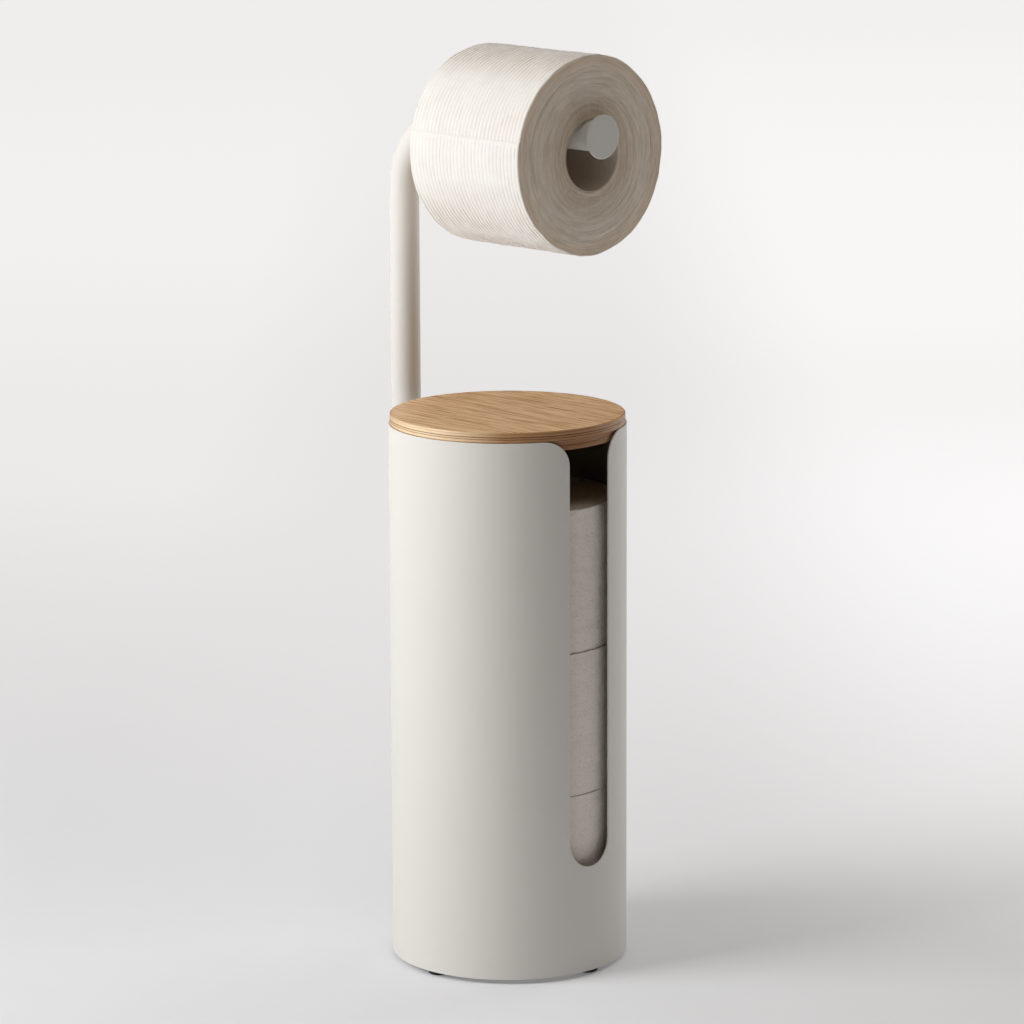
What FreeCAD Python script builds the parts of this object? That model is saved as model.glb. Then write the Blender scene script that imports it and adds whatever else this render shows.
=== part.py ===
import FreeCAD, Part
import math
import os

import Sketcher

# Free-standing toilet paper stand, in millimetres.
# +Z is up, the floor is at zero and the canister's axis is the Z axis.
# The slot and the arm point to the front, along -Y, and the pole stands at the back.

SIZES = {
    # canister shell
    "canister_od": 150.0,
    "canister_wall": 1.0,
    "canister_lower_round": 0.7,
    "slot_width": 33.5,
    "slot_foot_height": 68.0,
    "slot_corner_radius": 16.5,
    # lid
    "lid_inset": 0.9,
    "lid_lip_height": 6.6,
    "lid_plug_depth": 6.4,
    "lid_plug_clearance": 1.2,
    "lid_edge_round": 1.0,
    # base
    "foot_show": 3.0,
    "base_recess": 2.0,
    "pan_sheet": 1.2,
    "pan_flange": 10.0,
    "pan_clearance": 0.1,
    "pan_corner_radius": 2.0,
    "weight_height": 17.4,
    "weight_clearance": 0.6,
    "weight_chamfer": 1.0,
    "floor_sheet": 1.2,
    "floor_clearance": 0.5,
    # feet
    "foot_diameter": 14.0,
    "foot_edge_clearance": 1.0,
    "foot_turn_deg": 4.0,
    "foot_edge_round": 1.0,
    "foot_stem_diameter": 5.0,
    "foot_stem_clearance": 0.2,
    "foot_barb_overhang": 0.8,
    "foot_barb_height": 3.0,
    "foot_barb_clearance": 0.1,
    "foot_socket_clearance": 0.4,
    # base bolt, washer and nut
    "bolt_diameter": 6.0,
    "bolt_hole_clearance": 0.3,
    "bolt_head_diameter": 10.5,
    "bolt_head_height": 3.3,
    "bolt_socket_flats": 4.0,
    "bolt_socket_depth": 2.0,
    "bolt_end_show": 2.0,
    "washer_diameter": 12.0,
    "washer_thickness": 1.6,
    "nut_flats": 10.0,
    "nut_height": 5.0,
    "thread_clearance": 0.05,
    # pole and arm
    "tube_od": 19.0,
    "tube_wall": 1.2,
    "pole_gap": 10.0,
    "pole_lower_end": 45.0,
    "arm_height": 532.5,
    "bend_radius": 48.0,
    "arm_reach": 85.5,
    # end disc
    "disc_diameter": 27.2,
    "disc_thickness": 1.5,
    "disc_edge_round": 0.6,
    "disc_spigot_length": 8.0,
    "spigot_clearance": 0.1,
    # plug in the pole's lower end
    "plug_flange": 2.0,
    "plug_stem_length": 14.0,
    "plug_edge_round": 0.8,
    # stand-offs and their screws
    "standoff_diameter": 15.0,
    "standoff_bore_clearance": 0.3,
    "lower_fixing_height": 100.0,
    "upper_fixing_drop": 45.5,
    "screw_diameter": 5.0,
    "screw_length": 20.0,
    "screw_head_diameter": 9.5,
    "screw_head_height": 2.8,
    "screw_socket_flats": 3.0,
    "screw_socket_depth": 1.6,
    "screw_washer_diameter": 10.0,
    "screw_washer_thickness": 1.0,
    "screw_seat_clearance": 0.02,
    # rivet nuts in the tube
    "rivet_diameter": 7.0,
    "rivet_hole_clearance": 0.05,
    "rivet_flange_diameter": 9.5,
    "rivet_flange_thickness": 0.8,
    "rivet_length": 10.0,
    "rivet_bulge_diameter": 9.0,
    "rivet_bulge_start": 1.6,
    "rivet_bulge_length": 3.0,
    "rivet_pocket_clearance": 0.2,
    # paper rolls
    "roll_diameter": 125.2,
    "roll_length": 97.4,
    "roll_disc_gap": 8.4,
    "roll_edge_round": 1.8,
    "spare_roll_height": 91.2,
    "spare_side_clearance": 5.0,
    "spare_edge_round": 1.5,
    "spare_headroom": 39.8,
    "core_od": 45.4,
    "core_wall": 0.8,
    "winding_clearance": 0.05,
    "rest_gap": 0.3,
    # length that every cut runs past the material
    "cut_overrun": 5.0,
}

FOOT_COUNT = 4
FOOT_NAMES = ("foot_front", "foot_right", "foot_back", "foot_left")
SPARE_NAMES = ("bottom", "middle", "top")
FULL_TURN_DEG = 360.0
QUARTER_TURN_DEG = 90.0
HEXAGON_SIDES = 6
HEAD_SIDE_SHARE = 0.35
HEAD_CROWN_SHARE = 0.5
BARB_TIP_SHARE = 0.5
MATCH_MM = 1e-4

doc = FreeCAD.newDocument("toilet_paper_stand")
sheet = doc.addObject("Spreadsheet::Sheet", "Sizes")
for row, (alias, size) in enumerate(SIZES.items(), start=1):
    sheet.set(f"A{row}", alias)
    sheet.set(f"B{row}", str(size))
    sheet.setAlias(f"B{row}", alias)
doc.recompute()

# Formulas shared by pieces that fit one another
SHELL_R = "(Sizes.canister_od / 2)"
SHELL_INNER_R = f"({SHELL_R} - Sizes.canister_wall)"
SHELL_BOTTOM = "Sizes.foot_show"
PAN_BOTTOM = f"({SHELL_BOTTOM} + Sizes.base_recess)"
PAN_TOP = f"({PAN_BOTTOM} + Sizes.pan_sheet)"
PAN_R = f"({SHELL_INNER_R} - Sizes.pan_clearance)"
WEIGHT_TOP = f"({PAN_TOP} + Sizes.weight_height)"
FLOOR_TOP = f"({WEIGHT_TOP} + Sizes.floor_sheet)"
SPARE_PITCH = "(Sizes.spare_roll_height + Sizes.rest_gap)"
SPARE_TOP = f"({FLOOR_TOP} + {len(SPARE_NAMES)} * {SPARE_PITCH})"
LID_BOTTOM = f"({SPARE_TOP} + Sizes.spare_headroom)"
RIM = f"({LID_BOTTOM} + Sizes.lid_plug_depth)"
WASHER_TOP = f"({FLOOR_TOP} + Sizes.washer_thickness)"
NUT_TOP = f"({WASHER_TOP} + Sizes.nut_height)"
BOLT_R = "(Sizes.bolt_diameter / 2)"
BOLT_HOLE_R = f"({BOLT_R} + Sizes.bolt_hole_clearance)"
FOOT_R = "(Sizes.foot_diameter / 2)"
FOOT_RING_R = f"({SHELL_INNER_R} - Sizes.foot_edge_clearance - {FOOT_R})"
STEM_R = "(Sizes.foot_stem_diameter / 2)"
STEM_HOLE_R = f"({STEM_R} + Sizes.foot_stem_clearance)"
BARB_R = f"({STEM_R} + Sizes.foot_barb_overhang)"
BARB_BOTTOM = f"({PAN_TOP} + Sizes.foot_barb_clearance)"
BARB_TOP = f"({BARB_BOTTOM} + Sizes.foot_barb_height)"
TUBE_R = "(Sizes.tube_od / 2)"
BORE_R = f"({TUBE_R} - Sizes.tube_wall)"
POLE_Y = f"({SHELL_R} + Sizes.pole_gap + {TUBE_R})"
TUBE_END = "(Sizes.arm_reach - Sizes.disc_thickness)"
SCREW_R = "(Sizes.screw_diameter / 2)"
SCREW_HOLE_R = f"({SCREW_R} + Sizes.standoff_bore_clearance)"
SCREW_WASHER_R = "(Sizes.screw_washer_diameter / 2)"
WASHER_SEAT = (
    f"(sqrt({SHELL_INNER_R} * {SHELL_INNER_R} - {SCREW_WASHER_R} * {SCREW_WASHER_R})"
    " - Sizes.screw_seat_clearance)"
)
SCREW_SEAT = f"({WASHER_SEAT} - Sizes.screw_washer_thickness)"
TUBE_FRONT = f"({POLE_Y} - {TUBE_R})"
RIVET_R = "(Sizes.rivet_diameter / 2)"
RIVET_HOLE_R = f"({RIVET_R} + Sizes.rivet_hole_clearance)"
ROLL_R = "(Sizes.roll_diameter / 2)"
ROLL_FRONT = f"({TUBE_END} - Sizes.roll_disc_gap)"
SPARE_R = f"({SHELL_INNER_R} - Sizes.spare_side_clearance)"
CORE_R = "(Sizes.core_od / 2)"
CORE_BORE_R = f"({CORE_R} - Sizes.core_wall)"
WINDING_R = f"({CORE_R} + Sizes.winding_clearance)"
ROLL_AXIS_Z = f"(Sizes.arm_height + {TUBE_R} + Sizes.rest_gap - {CORE_BORE_R})"
FIXINGS = {
    "lower": "Sizes.lower_fixing_height",
    "upper": f"({RIM} - Sizes.upper_fixing_drop)",
}


def number(formula):
    """Today's value of a formula, for placing sketch geometry before its constraints hold it."""
    return float(sheet.evalExpression(formula))


def new_body(label):
    body = doc.addObject("PartDesign::Body", label)
    body.Label = label
    return body


def new_sketch(body, name, role):
    """An empty sketch on one of the body's own origin planes."""
    sketch = body.newObject("Sketcher::SketchObject", f"{body.Label}_{name}")
    plane = next(item for item in body.Origin.OriginFeatures if item.Role == role)
    sketch.AttachmentSupport = [(plane, "")]
    sketch.MapMode = "FlatFace"
    return sketch


def pin(sketch, geometry, point, across, up):
    """Hold one point of the sketch at a place given by two formulas."""
    for kind, axis, formula in (("DistanceX", -2, across), ("DistanceY", -1, up)):
        if formula == "0":
            sketch.addConstraint(Sketcher.Constraint("PointOnObject", geometry, point, axis))
            continue
        index = sketch.addConstraint(
            Sketcher.Constraint(kind, -1, 1, geometry, point, number(formula))
        )
        sketch.setExpression(f"Constraints[{index}]", formula)


def circle(sketch, across, up, radius):
    """A circle whose centre and radius follow formulas."""
    centre = FreeCAD.Vector(number(across), number(up), 0)
    shape = Part.Circle(centre, FreeCAD.Vector(0, 0, 1), number(radius))
    geometry = sketch.addGeometry(shape, False)
    pin(sketch, geometry, 3, across, up)
    index = sketch.addConstraint(Sketcher.Constraint("Radius", geometry, number(radius)))
    sketch.setExpression(f"Constraints[{index}]", radius)


def outline(sketch, corners, arcs=None, closed=True):
    """A chain of edges through corners given as formulas.

    arcs maps the number of an edge to its centre's two formulas and its turn,
    which is +1 anticlockwise or -1 clockwise.
    """
    arcs = arcs or {}
    places = [FreeCAD.Vector(number(x), number(y), 0) for x, y in corners]
    edge_count = len(corners) if closed else len(corners) - 1
    ends = []
    for edge in range(edge_count):
        start = places[edge]
        finish = places[(edge + 1) % len(places)]
        if edge not in arcs:
            geometry = sketch.addGeometry(Part.LineSegment(start, finish), False)
            ends.append((geometry, 1, 2))
            continue
        across, up, turn = arcs[edge]
        centre = FreeCAD.Vector(number(across), number(up), 0)
        first, last = (start, finish) if turn > 0 else (finish, start)
        from_angle = math.atan2(first.y - centre.y, first.x - centre.x)
        to_angle = math.atan2(last.y - centre.y, last.x - centre.x)
        ring = Part.Circle(centre, FreeCAD.Vector(0, 0, 1), (first - centre).Length)
        geometry = sketch.addGeometry(Part.ArcOfCircle(ring, from_angle, to_angle), False)
        ends.append((geometry, 1, 2) if turn > 0 else (geometry, 2, 1))
    for edge in range(edge_count if closed else edge_count - 1):
        geometry, _, finish = ends[edge]
        following, start, _ = ends[(edge + 1) % edge_count]
        sketch.addConstraint(
            Sketcher.Constraint("Coincident", geometry, finish, following, start)
        )
    for edge in range(edge_count):
        geometry, start, _ = ends[edge]
        pin(sketch, geometry, start, *corners[edge])
    if not closed:
        geometry, _, finish = ends[-1]
        pin(sketch, geometry, finish, *corners[-1])
    for edge, (_, up, _) in arcs.items():
        geometry = ends[edge][0]
        index = sketch.addConstraint(
            Sketcher.Constraint("DistanceY", -1, 1, geometry, 3, number(up))
        )
        sketch.setExpression(f"Constraints[{index}]", up)


def hexagon(sketch, flats):
    """A hexagon about the sketch's origin, by its size across flats."""
    reach = f"{flats} / sqrt(3)"
    step = FULL_TURN_DEG / HEXAGON_SIDES
    corners = []
    for side in range(HEXAGON_SIDES):
        angle = step * side + step / 2
        across = "0" if side in (1, 4) else f"{reach} * cos({angle} deg)"
        corners.append((across, f"{reach} * sin({angle} deg)"))
    outline(sketch, corners)


def turned(body, name, corners, arcs=None):
    """A solid of revolution about the body's Z axis, from radius and height formulas."""
    sketch = new_sketch(body, f"{name}_profile", "XZ_Plane")
    outline(sketch, corners, arcs)
    feature = body.newObject("PartDesign::Revolution", f"{body.Label}_{name}")
    feature.Profile = sketch
    feature.ReferenceAxis = (sketch, ["V_Axis"])
    feature.Angle = FULL_TURN_DEG
    sketch.Visibility = False
    doc.recompute()
    return feature


def ring_corners(inner, outer, bottom, top):
    return [(inner, bottom), (outer, bottom), (outer, top), (inner, top)]


def padded(body, sketch, name, height):
    feature = body.newObject("PartDesign::Pad", f"{body.Label}_{name}")
    feature.Profile = sketch
    feature.setExpression("Length", height)
    doc.recompute()
    return feature


def pocketed(body, sketch, name, depth, reverse=False):
    """A cut from the sketch's plane, which has to take material away."""
    before = body.Shape.Volume
    feature = body.newObject("PartDesign::Pocket", f"{body.Label}_{name}")
    feature.Profile = sketch
    feature.setExpression("Length", depth)
    feature.Reversed = reverse
    doc.recompute()
    if not body.Shape.Volume < before:
        raise RuntimeError(f"{feature.Name} cuts nothing")
    return feature


def repeated(body, feature, sketch, count):
    """The feature again, evenly round the sketch's normal."""
    pattern = body.newObject("PartDesign::PolarPattern", f"{feature.Name}_ring")
    pattern.Originals = [feature]
    pattern.Axis = (sketch, ["N_Axis"])
    pattern.Angle = FULL_TURN_DEG
    pattern.Occurrences = count
    body.Tip = pattern
    doc.recompute()
    return pattern


def round_edges(feature, radius, height):
    """Names of the circular edges of one radius at one height."""
    names = []
    for index, edge in enumerate(feature.Shape.Edges, start=1):
        curve = edge.Curve
        if not isinstance(curve, Part.Circle):
            continue
        same_radius = abs(curve.Radius - number(radius)) < MATCH_MM
        if same_radius and abs(curve.Center.z - number(height)) < MATCH_MM:
            names.append(f"Edge{index}")
    if not names:
        raise RuntimeError(f"{feature.Name} has no such edge")
    return names


def eased(body, feature, name, edges, size, kind="Fillet", prop="Radius"):
    """A fillet or chamfer on named edges."""
    dressing = body.newObject(f"PartDesign::{kind}", f"{body.Label}_{name}")
    dressing.Base = (feature, edges)
    dressing.setExpression(prop, size)
    doc.recompute()
    return dressing


def place(item, across="0", back="0", up="0"):
    for axis, formula in (("x", across), ("y", back), ("z", up)):
        if formula != "0":
            item.setExpression(f"Placement.Base.{axis}", formula)


def lay_back(item):
    """Turn a piece modelled along +Z so that it points along +Y."""
    item.Placement.Rotation = FreeCAD.Rotation(FreeCAD.Vector(1, 0, 0), -QUARTER_TURN_DEG)


def together(label, items):
    group = doc.addObject("Part::Compound", label)
    group.Label = label
    group.Links = items
    return group


def canister_shell():
    """Rolled sheet cylinder with the finger slot in front and two screw holes at the back."""
    body = new_body("canister_shell")
    wall = turned(body, "wall", ring_corners(SHELL_INNER_R, SHELL_R, SHELL_BOTTOM, RIM))
    lower_edge = round_edges(wall, SHELL_R, SHELL_BOTTOM)
    eased(body, wall, "lower_round", lower_edge, "Sizes.canister_lower_round")

    half = "(Sizes.slot_width / 2)"
    flare = f"({half} + Sizes.slot_corner_radius)"
    foot_centre = f"({SHELL_BOTTOM} + Sizes.slot_foot_height + {half})"
    shoulder = f"({RIM} - Sizes.slot_corner_radius)"
    above = f"({RIM} + Sizes.cut_overrun)"
    slot = new_sketch(body, "slot", "XZ_Plane")
    corners = [
        (half, foot_centre),
        (half, shoulder),
        (flare, RIM),
        (flare, above),
        (f"-{flare}", above),
        (f"-{flare}", RIM),
        (f"-{half}", shoulder),
        (f"-{half}", foot_centre),
    ]
    arcs = {
        1: (flare, shoulder, -1),
        5: (f"-{flare}", shoulder, -1),
        7: ("0", foot_centre, 1),
    }
    outline(slot, corners, arcs)
    pocketed(body, slot, "slot_cut", f"{SHELL_R} + Sizes.cut_overrun", reverse=True)

    holes = new_sketch(body, "screw_holes", "XZ_Plane")
    for height in FIXINGS.values():
        circle(holes, "0", height, SCREW_HOLE_R)
    pocketed(body, holes, "screw_hole_cut", f"{SHELL_R} + Sizes.cut_overrun")
    return body


def base_pan():
    """Pressed dish that closes the canister, with its flange against the wall."""
    body = new_body("base_pan")
    inner = f"({PAN_R} - Sizes.pan_sheet)"
    flange_top = f"({PAN_BOTTOM} + Sizes.pan_flange)"
    corners = [
        (BOLT_HOLE_R, PAN_BOTTOM),
        (PAN_R, PAN_BOTTOM),
        (PAN_R, flange_top),
        (inner, flange_top),
        (inner, PAN_TOP),
        (BOLT_HOLE_R, PAN_TOP),
    ]
    dish = turned(body, "dish", corners)
    corner = round_edges(dish, PAN_R, PAN_BOTTOM)
    eased(body, dish, "corner", corner, "Sizes.pan_corner_radius")
    foot_holes(body, STEM_HOLE_R, f"{PAN_TOP} + Sizes.cut_overrun")
    return body


def foot_holes(body, radius, depth):
    """Four holes for the feet's stems, cut upwards from the floor's plane."""
    sketch = new_sketch(body, "foot_hole", "XY_Plane")
    angle = f"(Sizes.foot_turn_deg - {QUARTER_TURN_DEG}) * 1 deg"
    circle(sketch, f"{FOOT_RING_R} * cos({angle})", f"{FOOT_RING_R} * sin({angle})", radius)
    cut = pocketed(body, sketch, "foot_hole_cut", depth, reverse=True)
    repeated(body, cut, sketch, FOOT_COUNT)


def base_weight():
    """Ballast disc in the pan, with blind holes over the feet's barbs."""
    body = new_body("base_weight")
    radius = f"({PAN_R} - Sizes.pan_sheet - Sizes.weight_clearance)"
    disc = turned(body, "disc", ring_corners(BOLT_HOLE_R, radius, PAN_TOP, WEIGHT_TOP))
    edges = round_edges(disc, radius, PAN_TOP) + round_edges(disc, radius, WEIGHT_TOP)
    eased(body, disc, "chamfer", edges, "Sizes.weight_chamfer", "Chamfer", "Size")
    socket_r = f"({BARB_R} + Sizes.foot_socket_clearance)"
    foot_holes(body, socket_r, f"{BARB_TOP} + Sizes.foot_socket_clearance")
    return body


def floor_plate():
    """Sheet disc over the ballast, which the spare rolls stand on."""
    body = new_body("floor_plate")
    radius = f"({SHELL_INNER_R} - Sizes.floor_clearance)"
    turned(body, "disc", ring_corners(BOLT_HOLE_R, radius, WEIGHT_TOP, FLOOR_TOP))
    return body


def socket_screw(label, name, length):
    """Round-headed socket screw along +Z, with its head's seat at zero.

    name picks the screw's own sizes in the sheet, and length is measured under the head.
    """
    body = new_body(label)
    head_r = f"(Sizes.{name}_head_diameter / 2)"
    crown_r = f"({head_r} - Sizes.{name}_head_height * {HEAD_CROWN_SHARE})"
    shank_r = f"(Sizes.{name}_diameter / 2 - Sizes.thread_clearance)"
    head_top = f"(-Sizes.{name}_head_height)"
    corners = [
        ("0", head_top),
        (crown_r, head_top),
        (head_r, f"({head_top} * {HEAD_SIDE_SHARE})"),
        (head_r, "0"),
        (shank_r, "0"),
        (shank_r, length),
        ("0", length),
    ]
    turned(body, "blank", corners)
    recess = new_sketch(body, "socket", "XY_Plane")
    recess.setExpression("AttachmentOffset.Base.z", head_top)
    hexagon(recess, f"Sizes.{name}_socket_flats")
    pocketed(body, recess, "socket_cut", f"Sizes.{name}_socket_depth", reverse=True)
    return body


def base_fastening():
    """Bolt from below, with the washer and nut on the floor plate."""
    bolt_length = f"({NUT_TOP} + Sizes.bolt_end_show - {PAN_BOTTOM})"
    bolt = socket_screw("base_bolt", "bolt", bolt_length)
    place(bolt, up=PAN_BOTTOM)
    washer = new_body("base_washer")
    washer_r = "(Sizes.washer_diameter / 2)"
    turned(washer, "ring", ring_corners(BOLT_HOLE_R, washer_r, FLOOR_TOP, WASHER_TOP))
    nut = new_body("base_nut")
    blank = new_sketch(nut, "hexagon", "XY_Plane")
    blank.setExpression("AttachmentOffset.Base.z", WASHER_TOP)
    hexagon(blank, "Sizes.nut_flats")
    padded(nut, blank, "blank", "Sizes.nut_height")
    bore = new_sketch(nut, "bore", "XY_Plane")
    circle(bore, "0", "0", BOLT_R)
    pocketed(nut, bore, "bore_cut", f"{NUT_TOP} + Sizes.cut_overrun", reverse=True)
    return [bolt, washer, nut]


def foot(index, label):
    """Push-in rubber foot: a pad under the pan, and a barbed stem through it."""
    body = new_body(label)
    tip_r = f"({STEM_R} * {BARB_TIP_SHARE})"
    corners = [
        ("0", "0"),
        (FOOT_R, "0"),
        (FOOT_R, PAN_BOTTOM),
        (STEM_R, PAN_BOTTOM),
        (STEM_R, BARB_BOTTOM),
        (BARB_R, BARB_BOTTOM),
        (tip_r, BARB_TOP),
        ("0", BARB_TOP),
    ]
    pad = turned(body, "pad", corners)
    eased(body, pad, "edge", round_edges(pad, FOOT_R, "0"), "Sizes.foot_edge_round")
    step = FULL_TURN_DEG / FOOT_COUNT
    angle = f"(Sizes.foot_turn_deg + {step * index - QUARTER_TURN_DEG}) * 1 deg"
    place(body, f"{FOOT_RING_R} * cos({angle})", f"{FOOT_RING_R} * sin({angle})")
    return body


def lid_board():
    """Plywood disc, rabbeted so that its lip lies on the rim and its plug drops inside."""
    body = new_body("lid_board")
    lip_r = f"({SHELL_R} - Sizes.lid_inset)"
    plug_r = f"({SHELL_INNER_R} - Sizes.lid_plug_clearance)"
    top = f"({RIM} + Sizes.lid_lip_height)"
    corners = [
        ("0", LID_BOTTOM),
        (plug_r, LID_BOTTOM),
        (plug_r, RIM),
        (lip_r, RIM),
        (lip_r, top),
        ("0", top),
    ]
    board = turned(body, "board", corners)
    edges = round_edges(board, lip_r, top) + round_edges(board, plug_r, LID_BOTTOM)
    eased(body, board, "edge", edges, "Sizes.lid_edge_round")
    return body


def pole_tube():
    """Round tube up the back, bent over the canister into the arm."""
    body = new_body("pole_tube")
    bend_start = "(Sizes.arm_height - Sizes.bend_radius)"
    bend_end = f"({POLE_Y} - Sizes.bend_radius)"
    path = new_sketch(body, "path", "YZ_Plane")
    corners = [
        (POLE_Y, "Sizes.pole_lower_end"),
        (POLE_Y, bend_start),
        (bend_end, "Sizes.arm_height"),
        (f"-{TUBE_END}", "Sizes.arm_height"),
    ]
    outline(path, corners, {1: (bend_end, bend_start, 1)}, closed=False)
    section = new_sketch(body, "section", "XY_Plane")
    section.setExpression("AttachmentOffset.Base.z", "Sizes.pole_lower_end")
    circle(section, "0", POLE_Y, TUBE_R)
    circle(section, "0", POLE_Y, BORE_R)
    doc.recompute()
    tube = body.newObject("PartDesign::AdditivePipe", "pole_tube_sweep")
    tube.Profile = section
    tube.Spine = path
    doc.recompute()
    holes = new_sketch(body, "rivet_holes", "XZ_Plane")
    for height in FIXINGS.values():
        circle(holes, "0", height, RIVET_HOLE_R)
    pocketed(body, holes, "rivet_hole_cut", POLE_Y)
    return body


def end_disc():
    """Thin disc on the arm's end, with a spigot inside the tube."""
    body = new_body("end_disc")
    disc_r = "(Sizes.disc_diameter / 2)"
    spigot_r = f"({BORE_R} - Sizes.spigot_clearance)"
    spigot_end = "(Sizes.disc_thickness + Sizes.disc_spigot_length)"
    corners = [
        ("0", "0"),
        (disc_r, "0"),
        (disc_r, "Sizes.disc_thickness"),
        (spigot_r, "Sizes.disc_thickness"),
        (spigot_r, spigot_end),
        ("0", spigot_end),
    ]
    disc = turned(body, "disc", corners)
    edges = round_edges(disc, disc_r, "0") + round_edges(disc, disc_r, "Sizes.disc_thickness")
    eased(body, disc, "edge", edges, "Sizes.disc_edge_round")
    lay_back(body)
    place(body, back="-Sizes.arm_reach", up="Sizes.arm_height")
    return body


def pole_end_plug():
    """Plug that closes the pole's lower end."""
    body = new_body("pole_end_plug")
    stem_r = f"({BORE_R} - Sizes.spigot_clearance)"
    stem_top = "Sizes.plug_stem_length"
    flange_bottom = "(-Sizes.plug_flange)"
    corners = [
        ("0", flange_bottom),
        (TUBE_R, flange_bottom),
        (TUBE_R, "0"),
        (stem_r, "0"),
        (stem_r, stem_top),
        ("0", stem_top),
    ]
    plug = turned(body, "plug", corners)
    eased(body, plug, "edge", round_edges(plug, TUBE_R, flange_bottom), "Sizes.plug_edge_round")
    place(body, back=POLE_Y, up="Sizes.pole_lower_end")
    return body


def rod(name, radius, start, length, height):
    """Plain cylinder along +Y at one height, used to make the stand-offs."""
    item = doc.addObject("Part::Cylinder", name)
    item.setExpression("Radius", radius)
    item.setExpression("Height", length)
    lay_back(item)
    place(item, back=start, up=height)
    return item


def upright(name, radius, back):
    """Plain cylinder along +Z from the floor past the rim, used to cut saddles."""
    item = doc.addObject("Part::Cylinder", name)
    item.setExpression("Radius", radius)
    item.setExpression("Height", f"{RIM} + Sizes.cut_overrun")
    place(item, back=back)
    return item


def cut(label, base, tool):
    item = doc.addObject("Part::Cut", label)
    item.Label = label
    item.Base = base
    item.Tool = tool
    return item


def standoff(where, height):
    """Round spacer with one end saddled to the canister and the other to the tube."""
    label = f"standoff_{where}"
    radius = "(Sizes.standoff_diameter / 2)"
    blank = rod(f"{label}_blank", radius, "0", POLE_Y, height)
    off_canister = cut(f"{label}_front", blank, upright(f"{label}_canister", SHELL_R, "0"))
    off_tube = cut(f"{label}_back", off_canister, upright(f"{label}_tube", TUBE_R, POLE_Y))
    bore = rod(f"{label}_bore", SCREW_HOLE_R, "0", POLE_Y, height)
    bored = cut(f"{label}_bored", off_tube, bore)
    pocket_r = "(Sizes.rivet_flange_diameter / 2 + Sizes.rivet_pocket_clearance)"
    pocket_depth = "(Sizes.rivet_flange_thickness + Sizes.rivet_pocket_clearance)"
    pocket = rod(f"{label}_pocket", pocket_r, f"{TUBE_FRONT} - {pocket_depth}", POLE_Y, height)
    return cut(label, bored, pocket)


def pole_fastening():
    """Screws from inside the canister, their washers, and the rivet nuts in the tube."""
    screws = []
    washers = []
    rivets = []
    flange_r = "(Sizes.rivet_flange_diameter / 2)"
    bulge_r = "(Sizes.rivet_bulge_diameter / 2)"
    flange_face = "(-Sizes.rivet_flange_thickness)"
    bulge_start = "(Sizes.tube_wall + Sizes.rivet_bulge_start)"
    bulge_end = f"({bulge_start} + Sizes.rivet_bulge_length)"
    bulge_middle = f"({bulge_start} + Sizes.rivet_bulge_length / 2)"
    for where, height in FIXINGS.items():
        screw = socket_screw(f"pole_screw_{where}", "screw", "Sizes.screw_length")
        lay_back(screw)
        place(screw, back=SCREW_SEAT, up=height)
        screws.append(screw)

        washer = new_body(f"pole_washer_{where}")
        ring = ring_corners(SCREW_HOLE_R, SCREW_WASHER_R, "0", "Sizes.screw_washer_thickness")
        turned(washer, "ring", ring)
        lay_back(washer)
        place(washer, back=SCREW_SEAT, up=height)
        washers.append(washer)

        rivet = new_body(f"rivet_nut_{where}")
        corners = [
            (SCREW_R, flange_face),
            (flange_r, flange_face),
            (flange_r, "0"),
            (RIVET_R, "0"),
            (RIVET_R, bulge_start),
            (bulge_r, bulge_middle),
            (RIVET_R, bulge_end),
            (RIVET_R, "Sizes.rivet_length"),
            (SCREW_R, "Sizes.rivet_length"),
        ]
        turned(rivet, "sleeve", corners)
        lay_back(rivet)
        place(rivet, back=TUBE_FRONT, up=height)
        rivets.append(rivet)
    return [
        together("pole_screws", screws),
        together("pole_washers", washers),
        together("pole_rivet_nuts", rivets),
    ]


def paper_roll(name, radius, length, edge_round):
    """Wound paper and the card core in it, along +Z from zero."""
    paper = new_body(f"{name}_paper")
    winding = turned(paper, "winding", ring_corners(WINDING_R, radius, "0", length))
    edges = round_edges(winding, radius, "0") + round_edges(winding, radius, length)
    eased(paper, winding, "edge", edges, edge_round)
    core = new_body(f"{name}_core")
    turned(core, "tube", ring_corners(CORE_BORE_R, CORE_R, "0", length))
    return [paper, core]


def hanging_roll():
    """Roll on the arm, hanging with its core's top on the tube."""
    pieces = paper_roll("hanging_roll", ROLL_R, "Sizes.roll_length", "Sizes.roll_edge_round")
    for piece in pieces:
        lay_back(piece)
        place(piece, back=f"-{ROLL_FRONT}", up=ROLL_AXIS_Z)
    return pieces


def spare_rolls():
    """Rolls standing on one another on the floor plate."""
    pieces = []
    for level, where in enumerate(SPARE_NAMES):
        name = f"spare_roll_{where}"
        roll = paper_roll(name, SPARE_R, "Sizes.spare_roll_height", "Sizes.spare_edge_round")
        for piece in roll:
            place(piece, up=f"{FLOOR_TOP} + Sizes.rest_gap + {level} * {SPARE_PITCH}")
        pieces += roll
    return pieces


def write_parts(pieces):
    """Check every object and every piece, then write one file for each piece."""
    doc.recompute()
    for item in doc.Objects:
        if {"Invalid", "Error"} & set(item.State):
            raise RuntimeError(f"{item.Label} failed: {item.State}")
    for piece in pieces:
        if piece.Shape.isNull() or not piece.Shape.isValid():
            raise RuntimeError(f"{piece.Label} has no valid shape")
    os.makedirs("parts", exist_ok=True)
    for piece in pieces:
        piece.Shape.exportStep(f"parts/{piece.Label}.step")


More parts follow.
